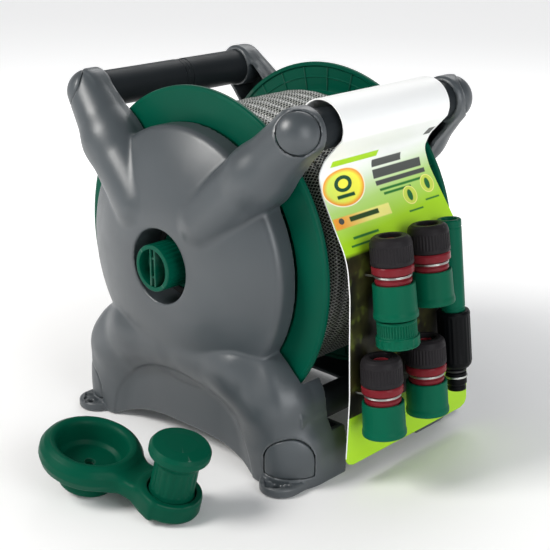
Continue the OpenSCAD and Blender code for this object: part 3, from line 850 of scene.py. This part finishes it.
def apron_height(x):
    """Top edge of the low arch panel between the legs."""
    ellipse = APRON_RISE * np.sqrt(np.maximum(1 - (x / ARCH_HALF) ** 2, 0.0))
    return ellipse - 0.6 * np.maximum(np.abs(x) - 80, 0)


def outer_distance(x, out, z):
    """The whole outside of a side frame, before it is hollowed."""
    ax = soft_size(x, 3.0)
    dish = dish_distance(x, out, z)
    legs = leg_distance(soft_size(x, 10.0), out, z)
    face = out - (WEB_FACE - 0.02 * np.maximum(z - 60, 0))
    web = blend_max(face, ax - (112 - 0.35 * np.maximum(z - 60, 0)), 10)
    web = blend_max(web, z - WEB_TOP, 20)
    web = blend_min(web, legs, 12)
    fade = np.clip((80 - ax) / 40, 0, 1)
    apron = web + 3.2 * fade * fade * (3 - 2 * fade)
    web = blend_max(web, (apron_height(ax) - z) * 0.6, 2.0)
    lower = blend_min(web, apron, 2.0)
    arch = ARCH_RISE * (1 - np.clip(ax / ARCH_HALF, 0, 1) ** 3)
    lower = blend_max(lower, arch - z, 2.5)
    horns = chain_distance(ax, np.maximum(out, 90), z, HORN, 8.0)
    body = blend_min(dish, lower, 2.2)
    return blend_min(body, horns, 3.0)


def lug_distance(x, out, z):
    """Flat ear with a screw hole, at the outer corner of each foot."""
    ax = np.abs(x)
    cx, cy, radius, height = 113.0, 103.0, 17.0, 8.0
    stem = np.maximum(np.abs(ax - cx) - radius, np.maximum(out - cy, 78 - out))
    disc = np.sqrt((ax - cx) ** 2 + (out - cy) ** 2) - radius
    plan = np.minimum(stem, disc)
    ear = blend_max(plan, np.maximum(z - height, -z), 2.4)
    to_hole = np.sqrt((ax - HOLE[0]) ** 2 + (out - HOLE[1]) ** 2)
    seat_r, seat_z, hole_r, well_z, well_reach = 6.3, 5.0, 3.0, 5.6, 5.6
    seat = np.maximum(to_hole - seat_r, seat_z - z)
    slot_x, slot_y = (ax - HOLE[0]) * 0.8, out - HOLE[1] + 1
    star = np.maximum(np.abs(slot_x + slot_y) * 0.75, np.abs(slot_x - slot_y) * 0.45)
    well = np.maximum(star - well_reach, well_z - z)
    ear = blend_max(ear, -np.minimum(seat, well), 0.8)
    return np.maximum(ear, hole_r - to_hole)


def side_distance(x, out, z):
    """One side frame: hollow moulding, handle collars, bosses, lugs and holes."""
    ax = np.abs(x)
    outer = outer_distance(x, out, z)
    inside = outer_distance(x, np.maximum(out, 84), z) + WALL
    shell = np.where(out < FOOT_INNER + WALL, outer, np.maximum(outer, -inside))
    r = np.sqrt(x * x + (z - AXLE_Z) ** 2)
    rim_gap = FLANGE_R + 2.5
    foot = (ax > 84) & (z < 42)
    inner_edge = np.where((r < rim_gap) | (z > 160), DRUM_FACE, np.where(foot, FOOT_INNER, LEG_INNER))
    shell = np.maximum(shell, inner_edge - out)
    reach = np.sqrt((ax - HANDLE_X) ** 2 + (z - HANDLE_Z) ** 2)
    collar_middle, collar_half = (COLLAR_FAR + COLLAR_END) / 2, (COLLAR_FAR - COLLAR_END) / 2
    collar = blend_max(reach - COLLAR_R, np.abs(out - collar_middle) - collar_half, 1.0)
    shell = blend_min(shell, collar, 5.0)
    socket = np.sqrt((ax - BEAM_X) ** 2 + (z - BEAM_Z) ** 2)
    beam_socket = np.maximum(socket - BEAM_R - SOCKET_WALL, np.abs(out - SOCKET_MIDDLE) - SOCKET_HALF)
    shell = np.minimum(shell, np.maximum(beam_socket, rim_gap - r))
    hub = np.maximum(np.abs(r - HUB_HOLE_R - HUB_HALF_WALL) - HUB_HALF_WALL,
                     np.maximum(HUB_INNER - out, out - DISH_TOP + 2))
    shell = np.minimum(np.minimum(shell, hub), lug_distance(x, out, z))
    shell = blend_max(shell, HUB_HOLE_R - r, 2.2)
    shell = np.maximum(shell, np.where(out < TUBE_END, HANDLE_R - reach, -9))
    shell = np.maximum(shell, np.where(out < 88, BEAM_R - socket, -9))
    for pocket in (horn_pocket, foot_pocket):
        shell = blend_max(shell, -pocket(ax, out, z, 0.5), 1.8)
    return np.maximum(shell, -z)


def horn_pocket(ax, out, z, gap):
    """Cylinder through the elbow, square to the diagonal that its cover faces."""
    px, py, pz = ax - ELBOW[0], out - ELBOW[1], z - ELBOW[2]
    along = px * CAP_FACE[0] + py * CAP_FACE[1] + pz * CAP_FACE[2]
    off = np.sqrt(np.maximum(px * px + py * py + pz * pz - along * along, 0))
    return np.maximum(off - HORN_CAP_R - gap, HORN_CAP_DEPTH - gap - along)


def foot_pocket(ax, out, z, gap):
    """D-shaped prism at the outer corner of a foot, square to its diagonal."""
    side = (ax - FOOT_CAP_X) * DIAGONAL - (out - FOOT_CAP_OUT) * DIAGONAL + 3.0
    depth = (ax - FOOT_CAP_X) * DIAGONAL + (out - FOOT_CAP_OUT) * DIAGONAL
    bottom, shoulder, back = 11.0, 24, 24.0
    arch = np.sqrt(side * side + np.maximum(z - shoulder, 0) ** 2) - FOOT_CAP_R
    outline = blend_max(arch, bottom - z, 3.0)
    return np.maximum(outline - gap, back - gap - depth)


def cap_distance(pocket):
    """A cover: what the pocket cuts out of the outside, as a curved plate."""
    def distance(x, out, z):
        outer = outer_distance(x, out, z)
        return blend_max(blend_max(outer, -outer - 2.6, 0.3), pocket(np.abs(x), out, z, 0.0), 1.0)
    return distance


def make_side_frames():
    points, faces = skin(side_distance, (-136, 44, -3), (136, 134, 306), 1.4)
    for side, side_name in SIDES:
        node = f"side_frame_{side_name}"
        add(f"{node}_moulding", points * (1, side, 1), faces, node, smooth_below=50)
    for kind, pocket, low, high in (("horn", horn_pocket, (98, 78, 260), (142, 118, 306)),
                                    ("foot", foot_pocket, (86, 62, 6), (134, 112, 48))):
        points, faces = skin(cap_distance(pocket), low, high, 0.6)
        for side, side_name in SIDES:
            for end, end_name in ENDS:
                node = f"{kind}_cap_{end_name}_{side_name}"
                add(f"{node}_cover", points * (end, side, 1), faces, node)


make_side_frames()


# ---------- handles and beams
def tube_from(near, length, radius, wall=2.0, step=0.3):
    """Tube whose near end has a slightly lower band with a groove behind it, as at a moulded joint."""
    band_r, groove_r = radius - step, radius - step - 0.5
    band = [(radius - wall, near, 0.2), (band_r, near, 0.5), (band_r, near + 3.4, 0.15),
            (groove_r, near + 3.7, 0.1), (groove_r, near + 4.3, 0.1), (radius, near + 4.7, 0.3)]
    far = [(radius, near + length, 0.5), (radius - wall, near + length, 0.3)]
    return rounded(band + far)


def make_handles_and_beams():
    for end, end_name in ENDS:
        for side, side_name in SIDES:
            near = side * TUBE_JOINT
            points, faces = turned(tube_from(near, TUBE_END - near, HANDLE_R), 72)
            node = f"{end_name}_handle_{side_name}"
            add(f"{node}_tube", along_y(points, end * HANDLE_X, HANDLE_Z) * (1, side, 1), faces, node)
        node = f"{end_name}_beam"
        low, high = corners(node)
        outline = rounded([(BEAM_R - 2, low[Y], 0.2), (BEAM_R, low[Y], 0.5), (BEAM_R, -1.2, 0.2),
                           (BEAM_R - 0.4, -0.7, 0.1), (BEAM_R - 0.4, 0.7, 0.1), (BEAM_R, 1.2, 0.2),
                           (BEAM_R, high[Y], 0.5), (BEAM_R - 2, high[Y], 0.2)])
        points, faces = turned(outline, 64)
        add(f"{node}_tube", along_y(points, end * BEAM_X, BEAM_Z), faces, node)


make_handles_and_beams()


# ---------- drum flanges and crank boss
def make_flanges():
    rim = FLANGE_R
    outline = rounded([
        (BOSS_R, DRUM_HALF, 0.2), (106.5, DRUM_HALF, 1.5), (110, 72.5, 2.5), (112.5, 75.8, 1.2),
        (116, 76.2, 0.5), (123.2, 76.2, 0.2), (123.6, 75.6, 0.2), (124.4, 75.6, 0.2), (124.8, 76.2, 0.2),
        (rim - 4.2, 76.2, 0.4), (rim - 3.2, 74.6, 0.4), (rim - 0.5, 74.6, 0.4), (rim, 75.2, 0.4),
        (rim, 77.6, 1.0), (rim - 0.8, 79.2, 0.8), (rim - 3.0, 80.0, 0.5), (108.4, 79.6, 0.8),
        (104.5, 77.0, 1.2), (102.0, 66.0, 1.5), (25, 66.0, 0.5), (25, 97, 0.5), (BOSS_R, 97, 0.3)], steps=3)
    parts = [turned(outline, 160)]
    rib_end = rim - 4
    for count, first, half, bevel, reach, height in (
            (30, 0.5, ((rib_end - 112) / 2, 0.5, 0.9), 0.3, (112 + rib_end) / 2, 76.0),
            (12, 0, (35, 0.8, 2.4), 0.4, 63, 67.4)):
        for k in range(count):
            spin = TAU * (k + first) / count
            parts.append(block(half, bevel, (reach * math.cos(spin), reach * math.sin(spin), height), spin))
    points, faces = joined(*parts)
    for side, name in SIDES:
        add(f"flange_{name}_disc", on_axle(points, side), faces, f"flange_{name}", smooth_below=32)


def make_crank_boss():
    """Splined boss with two bars each way across its recess."""
    face = BOSS_FACE
    splines = only_outside(ribbed(30, -0.55, face - 32, face - 3.5, sharp=0.8), BOSS_R - 0.1)
    outline = rounded([(0, 64), (BOSS_R, 64, 0.3), (BOSS_R, face - 33), (BOSS_R, face - 31),
                       (BOSS_R, face - 5), (BOSS_R, face - 3.4), (BOSS_R, face, 0.9),
                       (BOSS_R - 3.5, face, 0.6), (BOSS_R - 3.7, face - 10, 0.8), (0, face - 10)],
                      closed=False, steps=3)
    parts = [turned(outline, 240, closed=False, shape=splines)]
    parts += [block((0.8, 15.2, 5.0), 0.3, (x, 0, face - 5.6)) for x in (-2.4, 2.4)]
    parts += [block((2.4, 0.8, 4.6), 0.3, (0, z, face - 6.0)) for z in (-7.7, 7.8)]
    points, faces = joined(*parts)
    add("crank_boss_spline", on_axle(points, -1), faces, "crank_boss", smooth_below=32)


make_flanges()
make_crank_boss()


# ---------- crank
THROW = 76.0
CRANK_TILT = math.radians(14)
CRANK_PLACE = np.array([-0.5, -205.3, 22.3 * math.sin(CRANK_TILT)])
CRANK_TURN = math.radians(13)


def crank_space(points):
    """From the crank's own frame to where it leans on the floor."""
    x, y, w = points.T
    x, w = swung(x, w, -CRANK_TILT)
    return np.stack([*swung(x, y, CRANK_TURN), w], 1) + CRANK_PLACE


def profile_distance(r, w, outline):
    """Signed distance to a polygon in the (radius, height) plane."""
    outline = np.array(outline, float)
    best = np.full(np.shape(r), 1e9)
    inside = np.zeros(np.shape(r), bool)
    for (ar, aw), (br, bw) in zip(outline, np.roll(outline, -1, 0)):
        er, ew = br - ar, bw - aw
        t = np.clip(((r - ar) * er + (w - aw) * ew) / (er * er + ew * ew), 0, 1)
        best = np.minimum(best, (r - ar - t * er) ** 2 + (w - aw - t * ew) ** 2)
        if ew != 0:
            inside ^= ((aw > w) != (bw > w)) & (r < ar + er * (w - aw) / ew)
    return np.where(inside, -1, 1) * np.sqrt(best)


RING_SECTION = [(-2, 1.2), (21.1, 1.2), (21.1, 15.4), (31.5, 16.0), (37.4, 19.6), (39.6, 25), (39.3, 30),
                (36.6, 34.2), (33.4, 36.5), (-2, 36.5)]


BOSS_SOCKET_R, CENTRE_HOLE_R, GRIP_SEAT_R, PIN_HOLE_R = 19.2, 4, 18.8, 4.95
END_R, LIP_HIGH = 24, 34.4


def crank_distance(x, y, w):
    """Dished ring, waist and a round end for the grip, with what they are hollowed by."""
    r = np.sqrt(x * x + y * y)
    q = np.sqrt((x - THROW) ** 2 + y * y)
    ring = profile_distance(r, w, RING_SECTION) - 1.2
    end = blend_max(q - END_R, np.abs(w - 27) - 8, 4.0)
    waist = blend_max(np.abs(y) - (18 + 0.0075 * (x - 46) ** 2), np.abs(w - 25.5) - 7.8, 6.0)
    waist = blend_max(waist, np.abs(x - 44) - 30, 3.0)
    body = blend_min(blend_min(ring, waist, 7.0), end, 7.0)
    lip = profile_distance(q, w, [(20.0, 30), (22.8, 30), (22.8, LIP_HIGH), (20.0, LIP_HIGH)]) - 0.6
    body = np.minimum(body, lip)
    cup = profile_distance(r, w, [(-2, 18), (22, 18), (25, 21), (29.5, 45), (-2, 45)])
    body = blend_max(body, -cup, 5.0)
    boss_socket = np.maximum(r - BOSS_SOCKET_R, w - 14)
    body = blend_max(body, -boss_socket, 0.8)
    body = np.maximum(body, CENTRE_HOLE_R - r)
    grip_seat = np.maximum(q - GRIP_SEAT_R, 25 - w)
    body = blend_max(body, -grip_seat, 1.0)
    under = np.maximum(np.maximum(q - 21, w - 21.5), 6.5 - q)
    body = blend_max(body, -under, 0.8)
    return np.maximum(body, PIN_HOLE_R - q)


def make_crank():
    points, faces = skin(crank_distance, (-43, -43, -2), (102, 43, 39), 0.9)
    add("crank_arm_moulding", crank_space(points), faces, "crank_arm", smooth_below=45)
    bore, waist_r = 5.05, 17.0
    cap = rounded([(bore, 25.4, 0.1), (18, 25.4, 0.5), (18.2, 31, 1), (waist_r, 36, 6), (waist_r, 60.5, 4),
                   (20.0, 64.5, 2), (23.0, 67.6, 0.8), (23.5, 68.6, 0.4), (23.5, 73, 0.8), (21.5, 76, 1.5),
                   (12, 77, 3), (0, 77)], closed=False)
    hollow = [(0, 66), (7.5, 66), (7.5, 60), (bore, 60)]
    outline = np.concatenate([cap, hollow])
    waist_top = next(i for i, (r, w) in enumerate(outline) if abs(r - waist_r) < 0.05 and w > 50)
    outline = np.insert(outline, waist_top, [(waist_r, 38.0), (waist_r, 38.9), (waist_r, 57.4)], axis=0)
    grips = only_outside(ribbed(18, -0.7, 38, 58.5, sharp=0.9), 16)
    points, faces = turned(outline, 144, shape=grips)
    add("crank_grip_knob", crank_space(points + (THROW, 0, 0)), faces, "crank_grip", smooth_below=32)


make_crank()


# ---------- hose fittings
CONNECTORS = ("connector_1", "connector_2", "connector_3", "connector_4")
# Place of each fitting's lower end, and how far it leans, in degrees
FITTINGS = {"connector_1": (171, -38, 142, 7.5), "connector_2": (171, 8.5, 141, 8),
            "connector_3": (173, -50, 49.5, 5.5), "connector_4": (173, 5, 49.5, 5.5),
            "nozzle": (171.5, 46.5, 55, 6.5)}


def at_fitting(points, name):
    """Local Z to the leaning axis of a fitting tied to the card."""
    x, y, z = points.T
    across, up = swung(x, z, math.radians(FITTINGS[name][3]))
    return np.stack([across, y, up], 1) + FITTINGS[name][:3]


def add_fitting(name, node, fitting, outline, segments, shape=None, steps=3, smooth_below=32, **more):
    """A turned piece of a fitting, from its outline of (radius, height, rounding)."""
    points, faces = turned(rounded(outline, steps=steps), segments, shape=shape)
    return add(name, at_fitting(points, fitting), faces, node, smooth_below=smooth_below, **more)


def make_connector(name):
    """Hose nut, core with its red ring, and sliding sleeve."""
    bore = 11.55
    nut = [(bore, 41.4, 0.3), (15.9, 41.4, 0.5), (16.5, 42.4, 0.4), (16.5, 44.2, 0.3), (16.4, 44.9),
           (16.4, 45.5), (16.2, 55.6), (16.2, 56.4, 0.4), (15.9, 58.2, 2.0), (14.9, 61.0, 1.6),
           (12.6, 62.8, 0.6), (12.0, 63.0, 0.3), (9.0, 63.0, 0.5), (8.5, 62.2, 0.3), (8.5, 58.0, 0.2),
           (bore, 58.0, 0.2)]
    ribs = only_outside(ribbed(40, -0.5, 44.6, 56.5, sharp=0.7, fade=0.9), 15.9)
    add_fitting(f"{name}_nut_cap", f"{name}_nut", name, nut, 240, ribs, smooth_below=30)
    core = [(8.7, 3, 0.3), (13, 3, 0.3), (13, 25.2, 0.3), (13.9, 27.4, 0.5), (14.2, 28.0, 0.2),
            (14.2, 30.0, 0.4), (13.3, 30.8, 0.3), (13.3, 34.6, 0.3), (15.6, 34.7, 0.4), (16.2, 35.6, 0.6),
            (16.2, 39.6, 0.8), (15.5, 41.0, 0.4), (11.5, 41.0, 0.2), (11.5, 54, 0.3), (7.5, 54, 0.3),
            (7.5, 44, 0.3), (6.3, 44, 0.3), (6.3, 60, 0.4), (4.8, 60, 0.4), (4.8, 24, 0.3), (8.7, 24, 0.3)]
    add_fitting(f"{name}_core_ring", f"{name}_core", name, core, 96)
    sleeve = [(13.05, 2, 0.2), (14.2, 0, 0.4), (16.9, 0, 0.5), (17.3, 0.8, 0.4), (17.3, 3.6, 0.6),
              (16.7, 6, 3), (16.4, 22), (16.3, 26.4, 0.5), (15.9, 27, 0.3), (14.3, 27, 0.3),
              (14.3, 22.6, 0.3), (13.05, 22.0, 0.2)]

    def facets(angles, radius, height):
        strength = np.clip(min(height - 4, 25 - height) / 4, 0, 1)
        return radius * (1 - 0.014 * strength * (0.5 - 0.5 * np.cos(angles * 10)) ** 3)

    add_fitting(f"{name}_sleeve_grip", f"{name}_sleeve", name, sleeve, 160, only_outside(facets, 15.5),
                smooth_below=30)


def make_tap_adaptor():
    """Nipple in the mouth of the first connector, and the threaded collar below it."""
    nipple = [(5.5, 16, 0.3), (7.6, 16, 0.3), (8.5, 15, 0.3), (8.5, 3, 0.3), (7.0, 3, 0.2), (7.0, 1, 0.2),
              (8.5, 1, 0.3), (8.5, -5.8, 0.2), (11.8, -5.8, 0.2), (11.8, -8, 0.2), (5.5, -8, 0.2)]
    add_fitting("tap_nipple_tube", "tap_nipple", "connector_1", nipple, 72, steps=2)
    bore = 8.8
    collar = [(bore, -1.5, 0.2), (14.9, -1.5, 0.6), (15.5, -2.8, 0.4), (15.5, -3.6), (15.4, -4.4),
              (15.4, -12.6), (15.5, -13.4), (15.5, -13.9, 0.2), (16.6, -14.2, 0.4), (16.8, -14.9, 0.4),
              (16.8, -15.6), (16.8, -20.6), (16.8, -21.4), (16.0, -22.5, 0.5), (12.1, -22.5, 0.3),
              (12.1, -5.8, 0.2), (bore, -5.8, 0.2)]
    fine = ribbed(44, -0.9, -13.6, -3.4, sharp=0.7, fade=0.8)
    scallop = ribbed(14, -0.7, -21.6, -14.8, sharp=1.0, fade=0.9)

    def shape(angles, radius, height):
        if radius < 15.0:
            return np.full(len(angles), radius)
        return fine(angles, radius, height) if height > -13.9 else scallop(angles, radius, height)

    add_fitting("tap_collar_ring", "tap_collar", "connector_1", collar, 264, shape, smooth_below=30)


def make_nozzle():
    """Fluted body with a wire round its neck, and the long twisting tip."""
    bore = 9.85
    body = [(5, 0, 0.3), (7.6, 0, 0.4), (7.6, 3, 0.2), (7, 3, 0.2), (7, 5, 0.2), (7.9, 5, 0.3),
            (8.5, 6, 0.4), (8.5, 15, 0.4), (6.6, 15, 0.2), (6.6, 18.5, 0.3), (11, 20, 0.5),
            (12.8, 22.4, 1.2), (13.5, 25.4, 1.0), (13.5, 26.2), (13.5, 62.8), (13.5, 63.8),
            (13.5, 66.0, 0.5), (12.5, 68, 0.5), (bore, 68, 0.3), (bore, 34, 0.3), (5, 34, 0.3)]
    flutes = only_outside(ribbed(22, -0.9, 25.8, 63.4, sharp=1.0, fade=1.4), 13.2)
    add_fitting("nozzle_body_grip", "nozzle_body", "nozzle", body, 220, flutes, smooth_below=30)
    band = [(8.55, 11.0, 0.2), (9.3, 11.0, 0.3), (9.3, 12.6, 0.3), (8.55, 12.6, 0.2)]
    add_fitting("nozzle_neck_wire", "nozzle_body", "nozzle", band, 72, steps=2, smooth_below=38,
                look="tie_wire", hides=[])
    tip = [(6.5, 36, 0.3), (9.8, 36, 0.3), (9.8, 70.0, 0.2), (9.5, 70.4, 0.2), (9.5, 71.4, 0.2),
           (9.8, 71.8, 0.2), (9.8, 136.5, 0.2), (9.5, 136.9, 0.2), (9.5, 137.7, 0.2), (9.8, 138.1, 0.2),
           (9.8, 142.4, 0.8), (8.8, 143.5, 0.5), (6.6, 143.5, 0.6), (4.5, 138, 0.8), (6.5, 132, 0.8)]
    add_fitting("nozzle_tip_tube", "nozzle_tip", "nozzle", tip, 96)


def wire(path, radius, sides=10):
    """Round wire along a path, with domed ends."""
    path = np.array(path, float)
    tangents = directions(path)
    up = np.cross(tangents[0], (0.3, 0.2, 1.0))
    points, faces = [], ring_faces(len(path), sides)
    turn = np.arange(sides) * TAU / sides
    for spot, tangent in zip(path, tangents):
        up = unit(up - tangent * (up @ tangent))
        side = np.cross(tangent, up)
        points.extend(spot + radius * (np.cos(a) * up + np.sin(a) * side) for a in turn)
    last = (len(path) - 1) * sides
    faces += [list(range(sides))[::-1], list(range(last, last + sides))]
    return np.array(points), faces


def make_ties():
    """Wires twice round each connector, with their tails through the card."""
    height, tail_y, radius, thick = 32.8, 9.0, 14.1, 0.42
    start = math.pi - math.asin(tail_y / radius)
    parts = []
    for name in CONNECTORS:
        for z in (height - thick, height + thick):
            loop = [(radius * math.cos(a), radius * math.sin(a), z) for a in np.linspace(start, -start, 72)]
            first = [(-22.0, tail_y, z), (-15.0, tail_y, z)]
            last = [(-15.0, -tail_y, z), (-22.0, -tail_y, z)]
            points, faces = wire(first + loop + last, thick)
            parts.append((at_fitting(points, name), faces))
    points, faces = joined(*parts)
    add("tie_wires", points, faces, "card_ties", smooth_below=60)


for connector in CONNECTORS:
    make_connector(connector)
make_tap_adaptor()
make_nozzle()
make_ties()


# ---------- display card
WRAP_R = 21.0
CARD_FRONT = [(137.6, 276.4), (121, 259), (115.5, 246.5), (119.5, 231.5), (130.5, 211.5), (142, 191.3),
              (145.6, 180), (148.2, 158), (148.8, 118), (150, 77), (149, 50.5), (147.4, 16.5)]
CARD_THICK = 1.0
CARD_CORNER_R = 9.0
CARD_FOOT_Z = 16.0
CARD_TO_TOP = 62.0
CARD_NARROW_Z = 250.0


def card_line():
    """Evenly spaced middle line of the card in the XZ plane, eased through its bends."""
    arc = [(HANDLE_X + WRAP_R * math.cos(a), HANDLE_Z + WRAP_R * math.sin(a))
           for a in np.radians(np.arange(180, -1, -7.5))]
    rough = np.array([(HANDLE_X - WRAP_R, 266)] + arc + CARD_FRONT)
    length = distances(rough)
    even = np.linspace(0, length[-1], 181)
    line = np.stack([np.interp(even, length, rough[:, i]) for i in (0, 1)], 1)
    kernel = np.hanning(9) / np.hanning(9).sum()
    padded = np.pad(line, ((4, 4), (0, 0)), "edge")
    eased = np.stack([np.convolve(padded[:, i], kernel, "valid") for i in (0, 1)], 1)
    weight = np.clip((even - 90) / 12, 0, 1)[:, None] * np.clip((length[-1] - even) / 8, 0, 1)[:, None]
    return line + (eased - line) * weight, even


def make_card():
    """Sheet along the card's line, narrower towards its top, with round lower corners."""
    line, even = card_line()
    low, foot_high = (corner[Y] for corner in corners("display_card"))
    edge = np.array([0, 0.004, 0.015, 0.035, 0.06])
    across = np.concatenate([edge, np.linspace(0.1, 0.9, 25), (1 - edge)[::-1]])
    tangents = directions(line)
    outwards = np.stack([-tangents[:, 1], tangents[:, 0]], 1)
    total = even[-1]
    points, marks = [], []
    for (x, z), (nx, nz), s in zip(line, outwards, even):
        depth = max(CARD_CORNER_R - (total - s), 0)
        inset = CARD_CORNER_R - math.sqrt(max(CARD_CORNER_R * CARD_CORNER_R - depth * depth, 0))
        narrow = np.clip((z - CARD_FOOT_Z) / (CARD_NARROW_Z - CARD_FOOT_Z), 0, 1)
        high = foot_high + (CARD_TO_TOP - foot_high) * narrow
        for lift, shares in ((CARD_THICK, across), (0.0, across[::-1])):
            for share in shares:
                y = low + inset + share * (high - low - 2 * inset)
                points.append((x + nx * lift, y, z + nz * lift))
                marks.append((s / PRINT_LENGTH, (y - low) / PRINT_WIDTH))
    rows, ring = len(line), 2 * len(across)
    faces = ring_faces(rows, ring)
    for first in (0, (rows - 1) * ring):
        caps = [(first + j, first + j + 1, first + ring - 2 - j, first + ring - 1 - j)
                for j in range(len(across) - 1)]
        faces += caps if first else [cap[::-1] for cap in caps]
    card = add("card_sheet", points, faces, "display_card", smooth_below=50)
    layer = card.data.uv_layers.new(name="print")
    marks = np.array(marks, np.float32)
    index = np.zeros(len(card.data.loops), np.int32)
    card.data.loops.foreach_get("vertex_index", index)
    layer.data.foreach_set("uv", marks[index].ravel())


make_card()


# ---------- finishes of the CAD nodes still shown
for node, shown in frame["nodes"].items():
    if not shown.hide_render:
        shown.data.materials.clear()
        shown.data.materials.append(LOOKS[SLOT_OF[node]])
        shown.data.shade_smooth()
        shown.data.set_sharp_from_angle(angle=math.radians(32))
